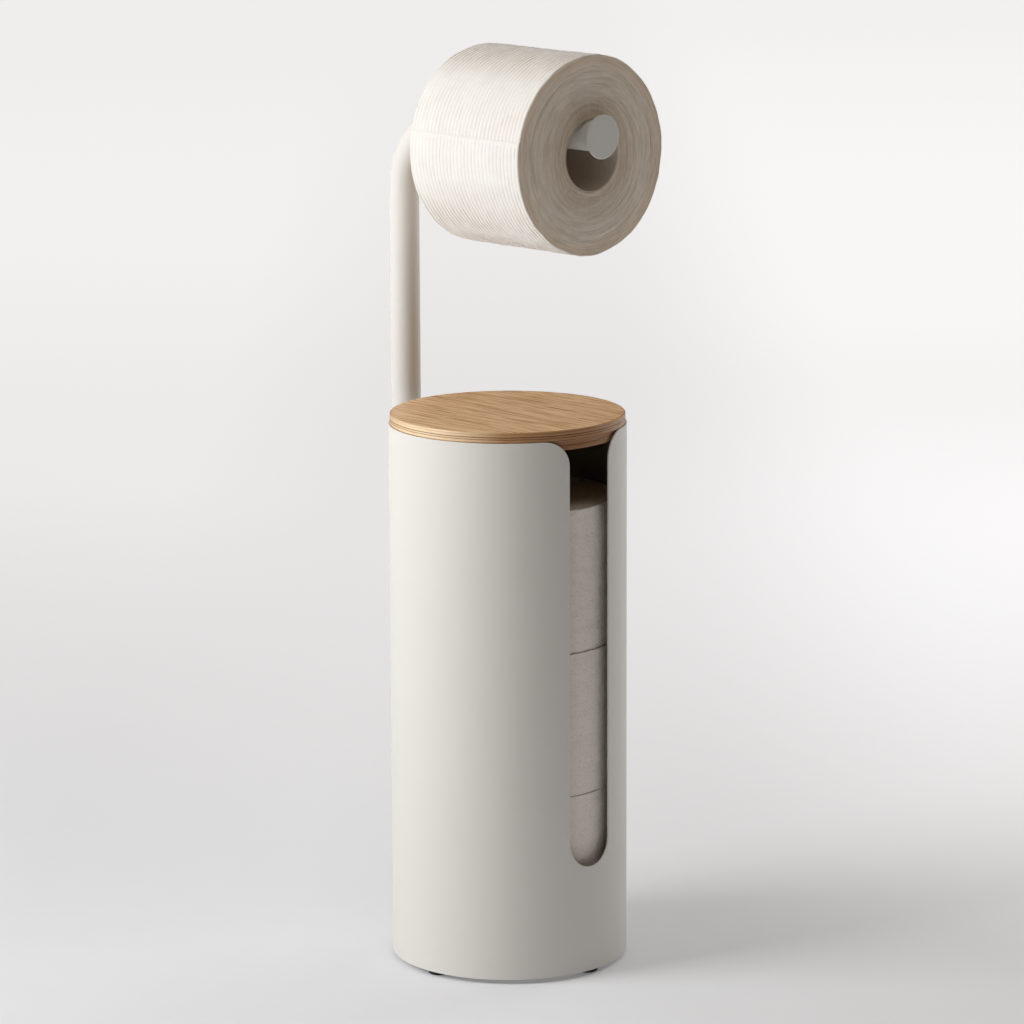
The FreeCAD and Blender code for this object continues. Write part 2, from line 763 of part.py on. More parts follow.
def main():
    pieces = [canister_shell(), base_pan(), base_weight(), floor_plate()]
    pieces += base_fastening()
    pieces += [foot(index, name) for index, name in enumerate(FOOT_NAMES)]
    pieces += [lid_board(), pole_tube(), end_disc(), pole_end_plug()]
    pieces += [standoff(where, height) for where, height in FIXINGS.items()]
    pieces += pole_fastening()
    pieces += hanging_roll()
    pieces += spare_rolls()
    write_parts(pieces)


main()
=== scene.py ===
"""Toilet paper stand: canister with a lid for spare rolls, pole and arm for the roll in use."""
import math

import bmesh
import bpy
from bpy.props import FloatProperty, FloatVectorProperty, IntProperty, PointerProperty
from mathutils import Matrix, Vector


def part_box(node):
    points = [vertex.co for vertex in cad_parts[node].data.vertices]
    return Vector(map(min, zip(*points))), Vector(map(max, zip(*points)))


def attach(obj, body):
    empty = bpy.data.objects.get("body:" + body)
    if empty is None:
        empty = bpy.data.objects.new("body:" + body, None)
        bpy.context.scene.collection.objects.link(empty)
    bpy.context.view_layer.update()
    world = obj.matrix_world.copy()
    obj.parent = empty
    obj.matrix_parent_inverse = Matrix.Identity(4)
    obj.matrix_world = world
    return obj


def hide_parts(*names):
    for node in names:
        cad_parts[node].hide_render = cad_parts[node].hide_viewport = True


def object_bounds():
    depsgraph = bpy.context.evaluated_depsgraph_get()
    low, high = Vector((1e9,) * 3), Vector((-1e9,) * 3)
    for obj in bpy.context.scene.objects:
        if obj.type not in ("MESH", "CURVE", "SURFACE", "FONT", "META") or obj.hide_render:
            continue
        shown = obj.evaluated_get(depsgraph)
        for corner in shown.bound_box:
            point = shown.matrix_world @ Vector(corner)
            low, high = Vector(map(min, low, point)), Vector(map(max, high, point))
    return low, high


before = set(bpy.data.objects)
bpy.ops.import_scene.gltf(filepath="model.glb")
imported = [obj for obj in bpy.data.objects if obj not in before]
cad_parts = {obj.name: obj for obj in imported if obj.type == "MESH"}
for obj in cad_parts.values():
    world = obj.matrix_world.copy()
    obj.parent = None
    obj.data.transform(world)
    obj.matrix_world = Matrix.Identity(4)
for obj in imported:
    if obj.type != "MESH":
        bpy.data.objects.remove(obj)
CAD_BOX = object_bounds()

bl_info = {
    "name": "Toilet Paper Stand",
    "version": (1, 0, 0),
    "blender": (4, 5, 0),
    "location": "View3D > Sidebar > Stand",
    "description": "Builds a free-standing toilet paper holder with a canister for spare rolls",
    "category": "Add Mesh",
}

MM = 0.001
UPRIGHT = Matrix.Identity(4)
LAID_BACK = Matrix.Rotation(-math.pi / 2, 4, "X")

# Layers of the lid's plywood from the top: thickness in millimetres, and how dark each one is
PLIES = (
    (1.0, 0.05), (0.25, 0.55), (1.45, 0.0), (0.6, 0.9), (0.8, 0.1), (0.5, 0.75), (1.5, 0.05),
    # The first layer below, from 6.1 to 6.7 mm down, is painted shadow under the lip's lower edge
    (0.6, 0.9), (0.6, 0.0), (1.9, 0.45), (0.3, 0.7), (3.5, 0.4),
)
GLUE_TONE = 0.5
FIBRE_SCALE = 700.0
CARD_WALL = 0.8 * MM

# Places of the CAD pieces that the modelled ones stand for
SHELL_LOW, SHELL_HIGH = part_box("canister_shell")
LID_LOW, LID_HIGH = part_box("lid_board")
POLE_LOW, POLE_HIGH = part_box("pole_tube")
DISC_LOW, DISC_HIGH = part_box("end_disc")
ROLL_LOW, ROLL_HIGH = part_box("hanging_roll_paper")
ROLL_CORE_LOW, ROLL_CORE_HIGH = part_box("hanging_roll_core")
SPARE_LOW, SPARE_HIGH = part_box("spare_roll_bottom_paper")
SPARE_CORE_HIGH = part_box("spare_roll_bottom_core")[1]


def scalar(name, description, default, **limits):
    return FloatProperty(name=name, description=description, default=default, **limits)


def length(name, description, default):
    """A size in metres."""
    return scalar(name, description, default, min=0.0, precision=5, unit="LENGTH")


def share(name, description, default):
    """A share from zero to one."""
    return scalar(name, description, default, min=0.0, max=1.0, subtype="FACTOR")


def angle(name, description, default_deg):
    return scalar(name, description, math.radians(default_deg), unit="ROTATION")


def colour(name, description, default):
    limits = {"min": 0.0, "max": 1.0, "size": 3, "subtype": "COLOR"}
    return FloatVectorProperty(name=name, description=description, default=default, **limits)


def count(name, description, default):
    return IntProperty(name=name, description=description, default=default, min=1)


class StandCanister(bpy.types.PropertyGroup):
    """Sizes of the sheet canister and its finger slot."""

    radius: length("Radius", "Outer radius of the rolled sheet", SHELL_HIGH.x)
    wall: length("Wall", "Thickness of the sheet", 1.0 * MM)
    bottom: length("Bottom", "Height of the lower edge", SHELL_LOW.z)
    rim: length("Rim", "Height of the upper edge", SHELL_HIGH.z)
    slot_width: length("Slot Width", "Width of the finger slot", 33.5 * MM)
    slot_foot: length("Slot Foot", "Sheet left below the slot", 68.0 * MM)
    slot_corner: length("Slot Corner", "Radius of the slot's corners at the rim", 16.5 * MM)
    edge_round: length("Edge Round", "Rounding of the coated edges", 0.3 * MM)


class StandLid(bpy.types.PropertyGroup):
    """Sizes of the plywood lid."""

    lip_radius: length("Lip Radius", "Radius of the part that lies on the rim", LID_HIGH.x)
    plug_radius: length("Plug Radius", "Radius of the part inside the canister", 72.8 * MM)
    top: length("Top", "Height of the veneered face", LID_HIGH.z)
    bottom: length("Bottom", "Height of the plug's lower face", LID_LOW.z)
    edge_round: length("Edge Round", "Rounding of the lid's edges", 1.0 * MM)
    lip_round: length("Lip Round", "Rounding of the lip's lower edge", 0.2 * MM)
    glue_depth: length("Glue Depth", "Depth of the dark layers between two plies", 0.1 * MM)


class StandPole(bpy.types.PropertyGroup):
    """Sizes of the bent tube and its end disc."""

    tube_radius: length("Tube Radius", "Outer radius of the tube", POLE_HIGH.x)
    tube_wall: length("Tube Wall", "Thickness of the tube's wall", 1.2 * MM)
    lower_end: length("Lower End", "Height of the pole's lower end", POLE_LOW.z)
    bend_radius: length("Bend Radius", "Radius of the bend on the tube's axis", 48.0 * MM)
    disc_radius: length("Disc Radius", "Radius of the end disc", DISC_HIGH.x)
    disc_thickness: length("Disc Thickness", "Thickness of the end disc", 1.5 * MM)
    disc_round: length("Disc Round", "Rounding of the end disc", 0.6 * MM)


class StandHangingRoll(bpy.types.PropertyGroup):
    """Sizes of the roll in use."""

    edge_round: length("Edge Round", "Rounding of the roll's outer edges", 1.8 * MM)
    end_start: share("End Start", "Where on the rounding the layers begin to show", 0.12)
    ribs: count("Ribs", "Pressed ribs along the roll", 31)
    rib_evenness: share("Rib Evenness", "How far the furrows show where they are faintest", 0.45)
    rib_depth: length("Rib Depth", "Depth of the furrows between the ribs", 0.4 * MM)
    # Rib Tone darkens the furrows' colour as painted shade
    rib_tone: share("Rib Tone", "How dark the furrows look", 0.95)
    loose_step: length("Loose Step", "Step at the outer sheet's end", 0.35 * MM)
    out_of_round: length("Out of Round", "How far the roll sinks in from a true round", 0.35 * MM)
    pucker: length("Pucker", "Depth of the small dents", 0.5 * MM)
    ring_depth: length("Ring Depth", "Relief of the layers on the end faces", 0.9 * MM)
    loose_angle: angle("Loose Angle", "Where the outer sheet ends, from the roll's side", 168.0)


class StandSpareRolls(bpy.types.PropertyGroup):
    """Sizes of the spare rolls."""

    edge_round: length("Edge Round", "Rounding of the roll's outer edges", 0.1 * MM)
    end_start: share("End Start", "Where on the rounding the layers begin to show", 0.95)
    ribs: count("Ribs", "Soft folds along the roll", 5)
    rib_evenness: share("Rib Evenness", "How far the folds show where they are faintest", 0.0)
    rib_depth: length("Rib Depth", "Depth of the folds", 0.5 * MM)
    # Rib Tone darkens the folds' colour as painted shade
    rib_tone: share("Rib Tone", "How dark the folds look", 0.04)
    loose_step: length("Loose Step", "Step at the outer sheet's end", 0.3 * MM)
    out_of_round: length("Out of Round", "How far the roll sinks in from a true round", 0.5 * MM)
    pucker: length("Pucker", "Depth of the small dents", 1.0 * MM)
    ring_depth: length("Ring Depth", "Relief of the layers on the end faces", 0.15 * MM)
    swell: length("Swell", "How far each soft end comes nearer to the next roll", 0.11 * MM)
    loose_angle: angle("Loose Angle", "Where the outer sheet ends, from the roll's side", 60.0)


class StandFinish(bpy.types.PropertyGroup):
    """Colours of the stand's materials."""

    coat: colour("Powder Coat", "Off-white coat of the metal", (0.80, 0.776, 0.728))
    # Painted shade: the canister's inside is coloured darker than its outside, for the shade within
    # it
    inner_coat: colour("Inner Coat", "Dark coat inside the canister", (0.44, 0.40, 0.34))
    oak_light: colour("Oak Light", "Pale wood of the veneer", (0.94, 0.64, 0.38))
    oak_dark: colour("Oak Dark", "Dark grain of the veneer", (0.50, 0.23, 0.075))
    ply_light: colour("Ply Light", "Pale plies on the lid's edge", (0.92, 0.76, 0.50))
    ply_dark: colour("Ply Dark", "Cross plies and glue lines on the edge", (0.32, 0.135, 0.05))
    # Partly the end grain's own stain, partly painted shade on the lid's edge where it faces along
    # Y
    ply_end: colour("Ply End Grain", "Stain where the grain ends on the edge", (0.55, 0.37, 0.25))
    tissue: colour("Tissue", "Face of the paper", (0.895, 0.868, 0.82))
    # Partly the spare rolls' own paper, partly painted light: paler than the roll in use's paper,
    # against the shade in the slot
    spare_tissue: colour("Spare Tissue", "Face of the spare rolls' paper", (0.99, 0.925, 0.84))
    # Painted shade for the paper's furrows, folds and dents, and the darker side of its random
    # mottling
    tissue_shade: colour("Tissue Shade", "Furrows and folds of the paper", (0.52, 0.43, 0.33))
    layers: colour("Layers", "End of the roll in use, where its layers show", (0.955, 0.855, 0.73))
    # Painted light: a warm glow on the outermost layers, where light shines through the paper
    layers_rim_glow: colour("Layers at the Rim", "Outermost layers on that end", (0.98, 0.81, 0.63))
    # Painted shade in the gaps between the layers and towards the core
    layers_shade: colour("Layers Shade", "Gaps between the layers", (0.64, 0.52, 0.40))
    # Painted shade: a greyer, darker paper than the roll in use's ends, for the shade inside the
    # canister
    spare_layers: colour("Spare Layers", "Ends of the spare rolls", (0.80, 0.76, 0.70))
    # Painted shade in the gaps between the spare rolls' layers and towards their cores
    spare_shade: colour("Spare Shade", "Gaps between the spare rolls' layers", (0.62, 0.57, 0.51))
    card: colour("Card", "Roll cores", (0.60, 0.51, 0.42))
    rubber: colour("Rubber", "Feet", (0.025, 0.024, 0.023))
    nylon: colour("Nylon", "Stand-offs and end plug", (0.74, 0.725, 0.70))
    zinc: colour("Zinc", "Screws, washers and nuts", (0.62, 0.62, 0.63))
    iron: colour("Iron", "Ballast", (0.10, 0.095, 0.09))
    floor: colour("Floor", "Studio floor", (0.70, 0.713, 0.742))


class StandStage(bpy.types.PropertyGroup):
    """Camera and studio light."""

    azimuth: angle("Azimuth", "Camera's direction round the stand", -43.6)
    distance: length("Distance", "Camera's level distance from the canister's axis", 2.85095)
    aside: length("Aside", "Camera's offset to its right", 2.5676 * MM)
    height: length("Height", "Camera's height", 0.87867)
    pitch: angle("Pitch", "Camera's tilt downwards", 11.7156)
    bank: angle("Bank", "Camera's turn about its own axis", -0.23287)
    lens: scalar("Lens", "Focal length", 162.226, min=1.0, unit="CAMERA")
    floor_radius: length("Floor Radius", "Radius of the studio floor", 16.0)
    key_power: scalar("Key Power", "Power of the softbox on the left", 11.9, unit="POWER")
    rim_power: scalar("Rim Power", "Power of the panel on the right", 5.6, unit="POWER")
    top_strength: scalar("Top Strength", "Strength of the overhead light", 1.13, min=0.0)
    top_tint: colour("Top Tint", "Colour of the overhead light", (1.0, 0.93, 0.84))
    air: share("Air", "Brightness of the room", 0.01)
    glow_tint: colour("Glow Tint", "Colour of the light from the floor", (0.99, 0.985, 1.0))
    floor_glow: share("Floor Glow", "Light from the whole floor", 0.125)
    back_glow: share("Back Glow", "Light from the floor behind the stand", 0.50)
    left_glow: share("Left Glow", "Light moved from near to far on the floor's left", 0.05)
    backdrop_glow: share("Backdrop Glow", "Brightness of the floor far out on both sides", 0.35)
    side_glow: share("Side Glow", "Light from the floor behind the stand and to its right", 0.12)


# Node trees


def method(operation):
    """A method of Formula that takes one more value into a math node."""
    return lambda formula, other: formula.calc(operation, other)


class Formula:
    """A socket of a node tree that takes part in sums as a number does."""

    def __init__(self, socket):
        self.socket = socket

    def through(self, kind, values, **settings):
        """What a node makes of these values."""
        item = add(self.socket.id_data, kind, dict(enumerate(values)), **settings)
        return Formula(item.outputs[0])

    def calc(self, operation, *others):
        return self.through("ShaderNodeMath", (self, *others), operation=operation)

    def ramp(self, low, high, first=0.0, last=1.0, smooth=False):
        """From first to last as this goes from low to high, and level outside."""
        curve = "SMOOTHSTEP" if smooth else "LINEAR"
        values = (self, low, high, first, last)
        return self.through("ShaderNodeMapRange", values, interpolation_type=curve)

    def __rsub__(self, other):
        return self * -1.0 + other

    __add__ = __radd__ = method("ADD")
    __sub__ = method("SUBTRACT")
    __mul__ = __rmul__ = method("MULTIPLY")
    __truediv__ = method("DIVIDE")
    __pow__ = method("POWER")
    # One where this is the greater, and zero elsewhere
    above = method("GREATER_THAN")


def feed(value, socket):
    """Link a socket to a formula, a node's first output or another socket, or set its value."""
    if isinstance(value, Formula):
        value = value.socket
    if isinstance(value, bpy.types.Node):
        value = value.outputs[0]
    if isinstance(value, bpy.types.NodeSocket):
        socket.id_data.links.new(value, socket)
    else:
        socket.default_value = value


def add(tree, kind, inputs=None, **settings):
    """A node with its settings, and its inputs by name or number."""
    item = tree.nodes.new(kind)
    for name, value in settings.items():
        setattr(item, name, value)
    for name, value in (inputs or {}).items():
        feed(value, item.inputs[name])
    return item


def vector(tree, x, y, z):
    return add(tree, "ShaderNodeCombineXYZ", {"X": x, "Y": y, "Z": z})


def parts(tree, value):
    """The three numbers of a vector."""
    item = add(tree, "ShaderNodeSeparateXYZ", {0: value})
    return [Formula(socket) for socket in item.outputs]


def noise(tree, place, scale, detail=2.0, roughness=0.5, distortion=0.0):
    inputs = {
        "Vector": place, "Scale": scale, "Detail": detail,
        "Roughness": roughness, "Distortion": distortion,
    }
    return Formula(add(tree, "ShaderNodeTexNoise", inputs).outputs[0])


def stretched(tree, place, factors):
    """A place scaled by its own factor along each axis."""
    return add(tree, "ShaderNodeVectorMath", {0: place, 1: factors}, operation="MULTIPLY")


def dimmed(tree, tint, factor):
    """A colour times a number."""
    return add(tree, "ShaderNodeVectorMath", {0: tint, "Scale": factor}, operation="SCALE")


def opaque(tint):
    return (*tint, 1.0)


def mixed(tree, factor, first, second):
    """A colour between two others."""
    item = add(tree, "ShaderNodeMix", data_type="RGBA")
    sockets = {socket.identifier: socket for socket in item.inputs}
    feed(factor, sockets["Factor_Float"])
    feed(first, sockets["A_Color"])
    feed(second, sockets["B_Color"])
    return next(socket for socket in item.outputs if socket.identifier == "Result_Color")


def stepped(tree, place, layers):
    """A number that steps through layers, each a thickness and a value.

    It goes through all of them as place goes from zero to one.
    """
    item = add(tree, "ShaderNodeValToRGB", {"Fac": place})
    item.color_ramp.interpolation = "CONSTANT"
    steps = item.color_ramp.elements
    steps.remove(steps[1])
    total = sum(thickness for thickness, _ in layers)
    depth = 0.0
    for number, (thickness, value) in enumerate(layers):
        step = steps.new(depth / total) if number else steps[0]
        step.color = (value, value, value, 1.0)
        depth += thickness
    return Formula(item.outputs[0])


def typed(**names):
    """Types of sockets by name, from the names that each type has."""
    return {name: kind for kind, listed in names.items() for name in listed.split(", ")}


SURFACE_OUT = typed(Color="Color", Float="Roughness, Height")
GEOMETRY_OUT = typed(Geometry="Geometry")


def new_tree(name, kind, inputs, outputs):
    """An empty node group with its sockets, and its inputs as formulas."""
    tree = bpy.data.node_groups.new(name, kind)
    for in_out, sockets in (("INPUT", inputs), ("OUTPUT", outputs)):
        for socket_name, short in sockets.items():
            tree.interface.new_socket(socket_name, in_out=in_out, socket_type=f"NodeSocket{short}")
    source = tree.nodes.new("NodeGroupInput")
    sink = tree.nodes.new("NodeGroupOutput")
    given = {socket_name: Formula(source.outputs[socket_name]) for socket_name in inputs}
    return tree, given, sink.inputs


def shared(build):
    """A node group, which has its maker's name, built the first time that it is asked for."""
    return bpy.data.node_groups.get(build.__name__) or build()


# Shared finishes


def delivered(tree, out, *values):
    """Link a finish to its group's outputs."""
    for name, value in zip(SURFACE_OUT, values):
        feed(value, out[name])
    return tree


def coat_grain():
    """Sprayed, moulded or cast surface: fine grain and a faint cloudiness of the colour."""
    cloud_scale = 14.0
    cloud_share = 0.7
    gloss_swing = 0.16
    inputs = typed(Vector="Vector", Color="Color", Float="Grain Scale, Base Roughness, Cloudiness")
    tree, given, out = new_tree("coat_grain", "ShaderNodeTree", inputs, SURFACE_OUT)
    grain = noise(tree, given["Vector"], given["Grain Scale"], detail=3.0, roughness=0.6)
    cloud = noise(tree, given["Vector"], cloud_scale, detail=3.0)
    tone = 1.0 - given["Cloudiness"] * (cloud * cloud_share + grain * (1.0 - cloud_share))
    roughness = given["Base Roughness"] + (grain - 0.5) * gloss_swing
    return delivered(tree, out, dimmed(tree, given["Color"], tone), roughness, grain)


def paper_fibre():
    """Soft pulp: cloudy formation, short fibres, and darkening by its Hollow input, which carries
    painted shade for the paper's furrows and gaps, and specks for the card.
    """
    cloud_scale = 90.0
    cloud_share = 0.3
    fibre_stretch = (1.0, 1.0, 0.35)
    roughness_range = (0.88, 0.98)
    inputs = typed(Vector="Vector", Color="Color, Shade", Float="Hollow, Fibre Scale, Mottle")
    tree, given, out = new_tree("paper_fibre", "ShaderNodeTree", inputs, SURFACE_OUT)
    place = stretched(tree, given["Vector"], fibre_stretch)
    scale = given["Fibre Scale"]
    fibre = noise(tree, place, scale, detail=4.0, roughness=0.65, distortion=0.6)
    cloud = noise(tree, given["Vector"], cloud_scale, detail=3.0)
    shade = (fibre - 0.5) * given["Mottle"] + (cloud - 0.5) * cloud_share + given["Hollow"]
    tint = mixed(tree, shade.ramp(0.0, 1.0), given["Color"], given["Shade"])
    height = fibre * (1.0 - cloud_share) + cloud * cloud_share
    return delivered(tree, out, tint, fibre.ramp(0.3, 0.7, *roughness_range), height)


def oak_grain():
    """Straight-grained wood along Y: broad bands, thin streaks and open pores."""
    band_stretch, band_scale, band_tone = (1.0, 0.06, 1.0), 0.35, 0.12
    pore_stretch, pore_scale, pore_tone = (1.0, 0.04, 1.0), 1.6, 0.65
    streak_tone = 0.60
    roughness_range = (0.42, 0.55)
    inputs = typed(Vector="Vector", Color="Light, Dark", Float="Grain Scale")
    tree, given, out = new_tree("oak_grain", "ShaderNodeTree", inputs, SURFACE_OUT)
    scale = given["Grain Scale"]
    along = stretched(tree, given["Vector"], band_stretch)
    bands = noise(tree, along, scale * band_scale, detail=3.0, distortion=0.4).ramp(0.35, 0.68)
    streaks = noise(tree, along, scale, detail=5.0, roughness=0.7, distortion=0.2)
    pore_place = stretched(tree, given["Vector"], pore_stretch)
    pores = noise(tree, pore_place, scale * pore_scale).ramp(0.55, 0.62)
    dark = bands * band_tone + streaks.ramp(0.47, 0.60) * streak_tone + pores * pore_tone
    tint = mixed(tree, dark.ramp(0.0, 1.1), given["Light"], given["Dark"])
    roughness = pores * 0.15 + streaks.ramp(0.3, 0.7, *roughness_range)
    return delivered(tree, out, tint, roughness, 1.0 - pores - streaks * 0.25)


# Materials

# Colour's name, scale of the grain, roughness, cloudiness, relief and share of metal
GRAINED = {
    "sprayed_coat": ("coat", 900.0, 0.62, 0.035, 0.05 * MM, 0.0),
    "inner_coat": ("inner_coat", 900.0, 0.6, 0.06, 0.05 * MM, 0.0),
    "moulded_nylon": ("nylon", 600.0, 0.42, 0.05, 0.03 * MM, 0.0),
    "foot_rubber": ("rubber", 500.0, 0.78, 0.35, 0.10 * MM, 0.0),
    "plated_steel": ("zinc", 1400.0, 0.34, 0.18, 0.02 * MM, 1.0),
    "cast_iron": ("iron", 260.0, 0.72, 0.45, 0.30 * MM, 0.6),
}


def finished(name, build, *values, **named):
    """A material by name, made the first time that it is asked for."""
    return bpy.data.materials.get(name) or build(name, *values, **named)


def grouped(tree, build, **inputs):
    """Colour, roughness and height of a shared finish, placed in a material with its own values."""
    values = {name.replace("_", " "): value for name, value in inputs.items()}
    return add(tree, "ShaderNodeGroup", values, node_tree=shared(build)).outputs


def new_material(name):
    """An empty material, and its object coordinates."""
    material = bpy.data.materials.new(name)
    material.use_nodes = True
    tree = material.node_tree
    tree.nodes.clear()
    return material, tree, tree.nodes.new("ShaderNodeTexCoord").outputs["Object"]


def surfaced(tree, tint, roughness, height, relief, **sockets):
    """Close a material with its shader; relief is the depth that the height stands for."""
    bump = add(tree, "ShaderNodeBump", {"Strength": 1.0, "Distance": relief, "Height": height})
    inputs = {"Base Color": tint, "Roughness": roughness, "Normal": bump}
    inputs |= {name.replace("_", " "): value for name, value in sockets.items()}
    shader = add(tree, "ShaderNodeBsdfPrincipled", inputs)
    add(tree, "ShaderNodeOutputMaterial", {"Surface": shader})


def grained(name, finish):
    """A sprayed, moulded or cast material."""
    tint, scale, roughness, cloudiness, relief, metal = GRAINED[name]
    material, tree, place = new_material(name)
    grain = grouped(
        tree, coat_grain, Vector=place, Color=opaque(getattr(finish, tint)), Grain_Scale=scale,
        Base_Roughness=roughness, Cloudiness=cloudiness,
    )
    surfaced(tree, *grain, relief, Metallic=metal)
    return material


def oak_veneer(name, finish):
    """Top and underside of the lid."""
    material, tree, place = new_material(name)
    light, dark = opaque(finish.oak_light), opaque(finish.oak_dark)
    wood = grouped(tree, oak_grain, Vector=place, Light=light, Dark=dark, Grain_Scale=380.0)
    surfaced(tree, *wood, relief=0.12 * MM, Coat_Weight=0.08)
    return material


def ply_edge(name, finish, lid):
    """Turned edge of the lid, with its plies and glue lines, and an end-grain stain that also
    paints shade on the edge.
    """
    waver_scale, waver_size = 60.0, 0.5 * MM
    fine_stretch, fine_scale, fine_tone = (1.0, 1.0, 9.0), 240.0, 0.4
    pore_scale, pore_tone = 1500.0, 0.15
    grain_stretch, grain_scale = (0.15, 1.0, 1.0), 700.0
    material, tree, place = new_material(name)
    x, y, z = parts(tree, place)
    # Darker where the edge faces along Y: the end grain's stain, made strong enough to paint shade
    # there too
    end_grain_and_shade = (y * y / (x * x + y * y)).ramp(0.03, 0.5)
    end_stain_and_shade = mixed(tree, end_grain_and_shade, opaque((1.0, 1.0, 1.0)), opaque(finish.ply_end))
    waver = (noise(tree, place, waver_scale) - 0.5) * waver_size
    depth = (lid.top - z + waver) / (lid.top - lid.bottom)
    layers = stepped(tree, depth, PLIES)
    fine_place = stretched(tree, place, fine_stretch)
    fine = noise(tree, fine_place, fine_scale, detail=4.0, roughness=0.65)
    pores = noise(tree, place, pore_scale)
    dark = layers + (fine - 0.5) * fine_tone + (pores - 0.5) * pore_tone
    wood = grouped(
        tree, oak_grain, Vector=stretched(tree, place, grain_stretch),
        Light=opaque(finish.ply_light), Dark=opaque(finish.oak_light), Grain_Scale=grain_scale,
    )
    tint = mixed(tree, dark.ramp(0.0, 1.0), wood["Color"], opaque(finish.ply_dark))
    tint = stretched(tree, tint, end_stain_and_shade)
    surfaced(tree, tint, wood["Roughness"], fine - layers, relief=0.10 * MM)
    return material


def hollows(tree):
    """The mesh's own mark of its furrows, folds and gaps, where shade is painted."""
    return Formula(add(tree, "ShaderNodeAttribute", attribute_name="hollow").outputs["Fac"])


def tissue_face(name, finish, tint, fibre_scale, mottle, relief, squeeze=1.0):
    """Wound face of a roll; squeeze shortens the fibres along Z."""
    material, tree, place = new_material(name)
    pulp = grouped(
        tree, paper_fibre, Vector=stretched(tree, place, (1.0, 1.0, squeeze)), Color=opaque(tint),
        Shade=opaque(finish.tissue_shade), Hollow=hollows(tree), Fibre_Scale=fibre_scale,
        Mottle=mottle,
    )
    surfaced(tree, *pulp, relief, Sheen_Weight=0.4)
    return material


def tissue_end(name, tint, rim_glow_tint, shade, outer, centre, turn):
    """End of a roll: the layers' edges as rings about the roll's axis, with painted shade in the
    gaps and towards the core, and a painted warm glow towards the rim, where light shines through
    the outer layers.
    """
    waver_scale, waver_size = 45.0, 3.0 * MM
    layer_scale, layer_drift = 950.0, 0.05
    layer_tone, gap_tone, core_shade_tone = 0.7, 0.35, 0.55
    rim_start, core_shade_start, core_shade_end = outer * 0.80, outer * 0.36, outer * 0.78
    material, tree, place = new_material(name)
    to_axis = add(tree, "ShaderNodeMapping", {"Vector": place})
    to_axis.inputs["Rotation"].default_value = turn.to_euler()
    to_axis.inputs["Location"].default_value = -(turn @ centre)
    x, y, _ = parts(tree, to_axis)
    radius = (x * x + y * y).calc("SQRT")
    waver = (noise(tree, place, waver_scale) - 0.5) * waver_size
    ring_place = vector(tree, radius + waver, x * layer_drift, y * layer_drift)
    layers = noise(tree, ring_place, layer_scale, detail=4.0, roughness=0.75)
    # Painted light: a warm glow towards the rim, where light shines through the outer layers
    rim = radius.ramp(rim_start, outer, smooth=True)
    # Painted shade towards the core
    core_shade = radius.ramp(core_shade_start, core_shade_end, 1.0, 0.0, smooth=True)
    hollow = layers.ramp(0.42, 0.70) * layer_tone + hollows(tree) * gap_tone + core_shade * core_shade_tone
    pulp = grouped(
        tree, paper_fibre, Vector=place, Color=mixed(tree, rim, opaque(tint), opaque(rim_glow_tint)),
        Shade=opaque(shade), Hollow=hollow, Fibre_Scale=FIBRE_SCALE, Mottle=0.4,
    )
    surfaced(tree, pulp["Color"], pulp["Roughness"], layers, relief=0.25 * MM)
    return material


def grey_card(name, finish):
    """Grey-brown card of the cores."""
    shade_tone = 0.6
    speck_scale, speck_tone = 380.0, 0.4
    material, tree, place = new_material(name)
    specks = noise(tree, place, speck_scale, detail=3.0, roughness=0.7).ramp(0.58, 0.72)
    pulp = grouped(
        tree, paper_fibre, Vector=place, Color=opaque(finish.card),
        Shade=dimmed(tree, finish.card, shade_tone), Hollow=specks * speck_tone,
        Fibre_Scale=FIBRE_SCALE, Mottle=0.35,
    )
    surfaced(tree, *pulp, relief=0.05 * MM)
    return material


# Meshes


def linked(name, mesh):
    item = bpy.data.objects.new(name, mesh)
    bpy.context.scene.collection.objects.link(item)
    return item


def seated(item, body, slot, *nodes):
    """Let a finished piece ride on its body and stand for its CAD nodes."""
    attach(item, body)
    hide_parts(*nodes)


def dressed(node_names, material_name, finish):
    """Give CAD pieces that stay a grained material."""
    material = finished(material_name, grained, finish)
    for name in node_names:
        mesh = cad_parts[name].data
        mesh.materials.clear()
        mesh.materials.append(material)


def as_mesh(bm, name):
    mesh = bpy.data.meshes.new(name)
    bm.to_mesh(mesh)
    bm.free()
    return mesh


def lathe(name, profile, placement, materials, segments):
    """A solid turned about Z.

    profile lists the radius, the height and the number of the material of the stretch that follows.
    """
    sharp_deg = 35.0
    bm = bmesh.new()
    rings = []
    for radius, height, _ in profile:
        if radius == 0.0:
            rings.append([bm.verts.new((0.0, 0.0, height))])
            continue
        ring = []
        for step in range(segments):
            turn = math.tau * step / segments
            ring.append(bm.verts.new((radius * math.cos(turn), radius * math.sin(turn), height)))
        rings.append(ring)
    closed = profile[0][0] > 0.0
    stretches = len(profile) if closed else len(profile) - 1
    for index in range(stretches):
        upper = rings[index]
        lower = rings[(index + 1) % len(rings)]
        for step in range(segments):
            after = (step + 1) % segments
            corners = [upper[step % len(upper)], lower[step % len(lower)]]
            corners += [lower[after % len(lower)], upper[after % len(upper)]]
            face = bm.faces.new(dict.fromkeys(corners))
            face.material_index = profile[index][2]
            face.smooth = True
    bmesh.ops.recalc_face_normals(bm, faces=bm.faces)
    mesh = as_mesh(bm, name)
    mesh.transform(placement)
    for material in materials:
        mesh.materials.append(material)
    mesh.set_sharp_from_angle(angle=math.radians(sharp_deg))
    return linked(name, mesh)


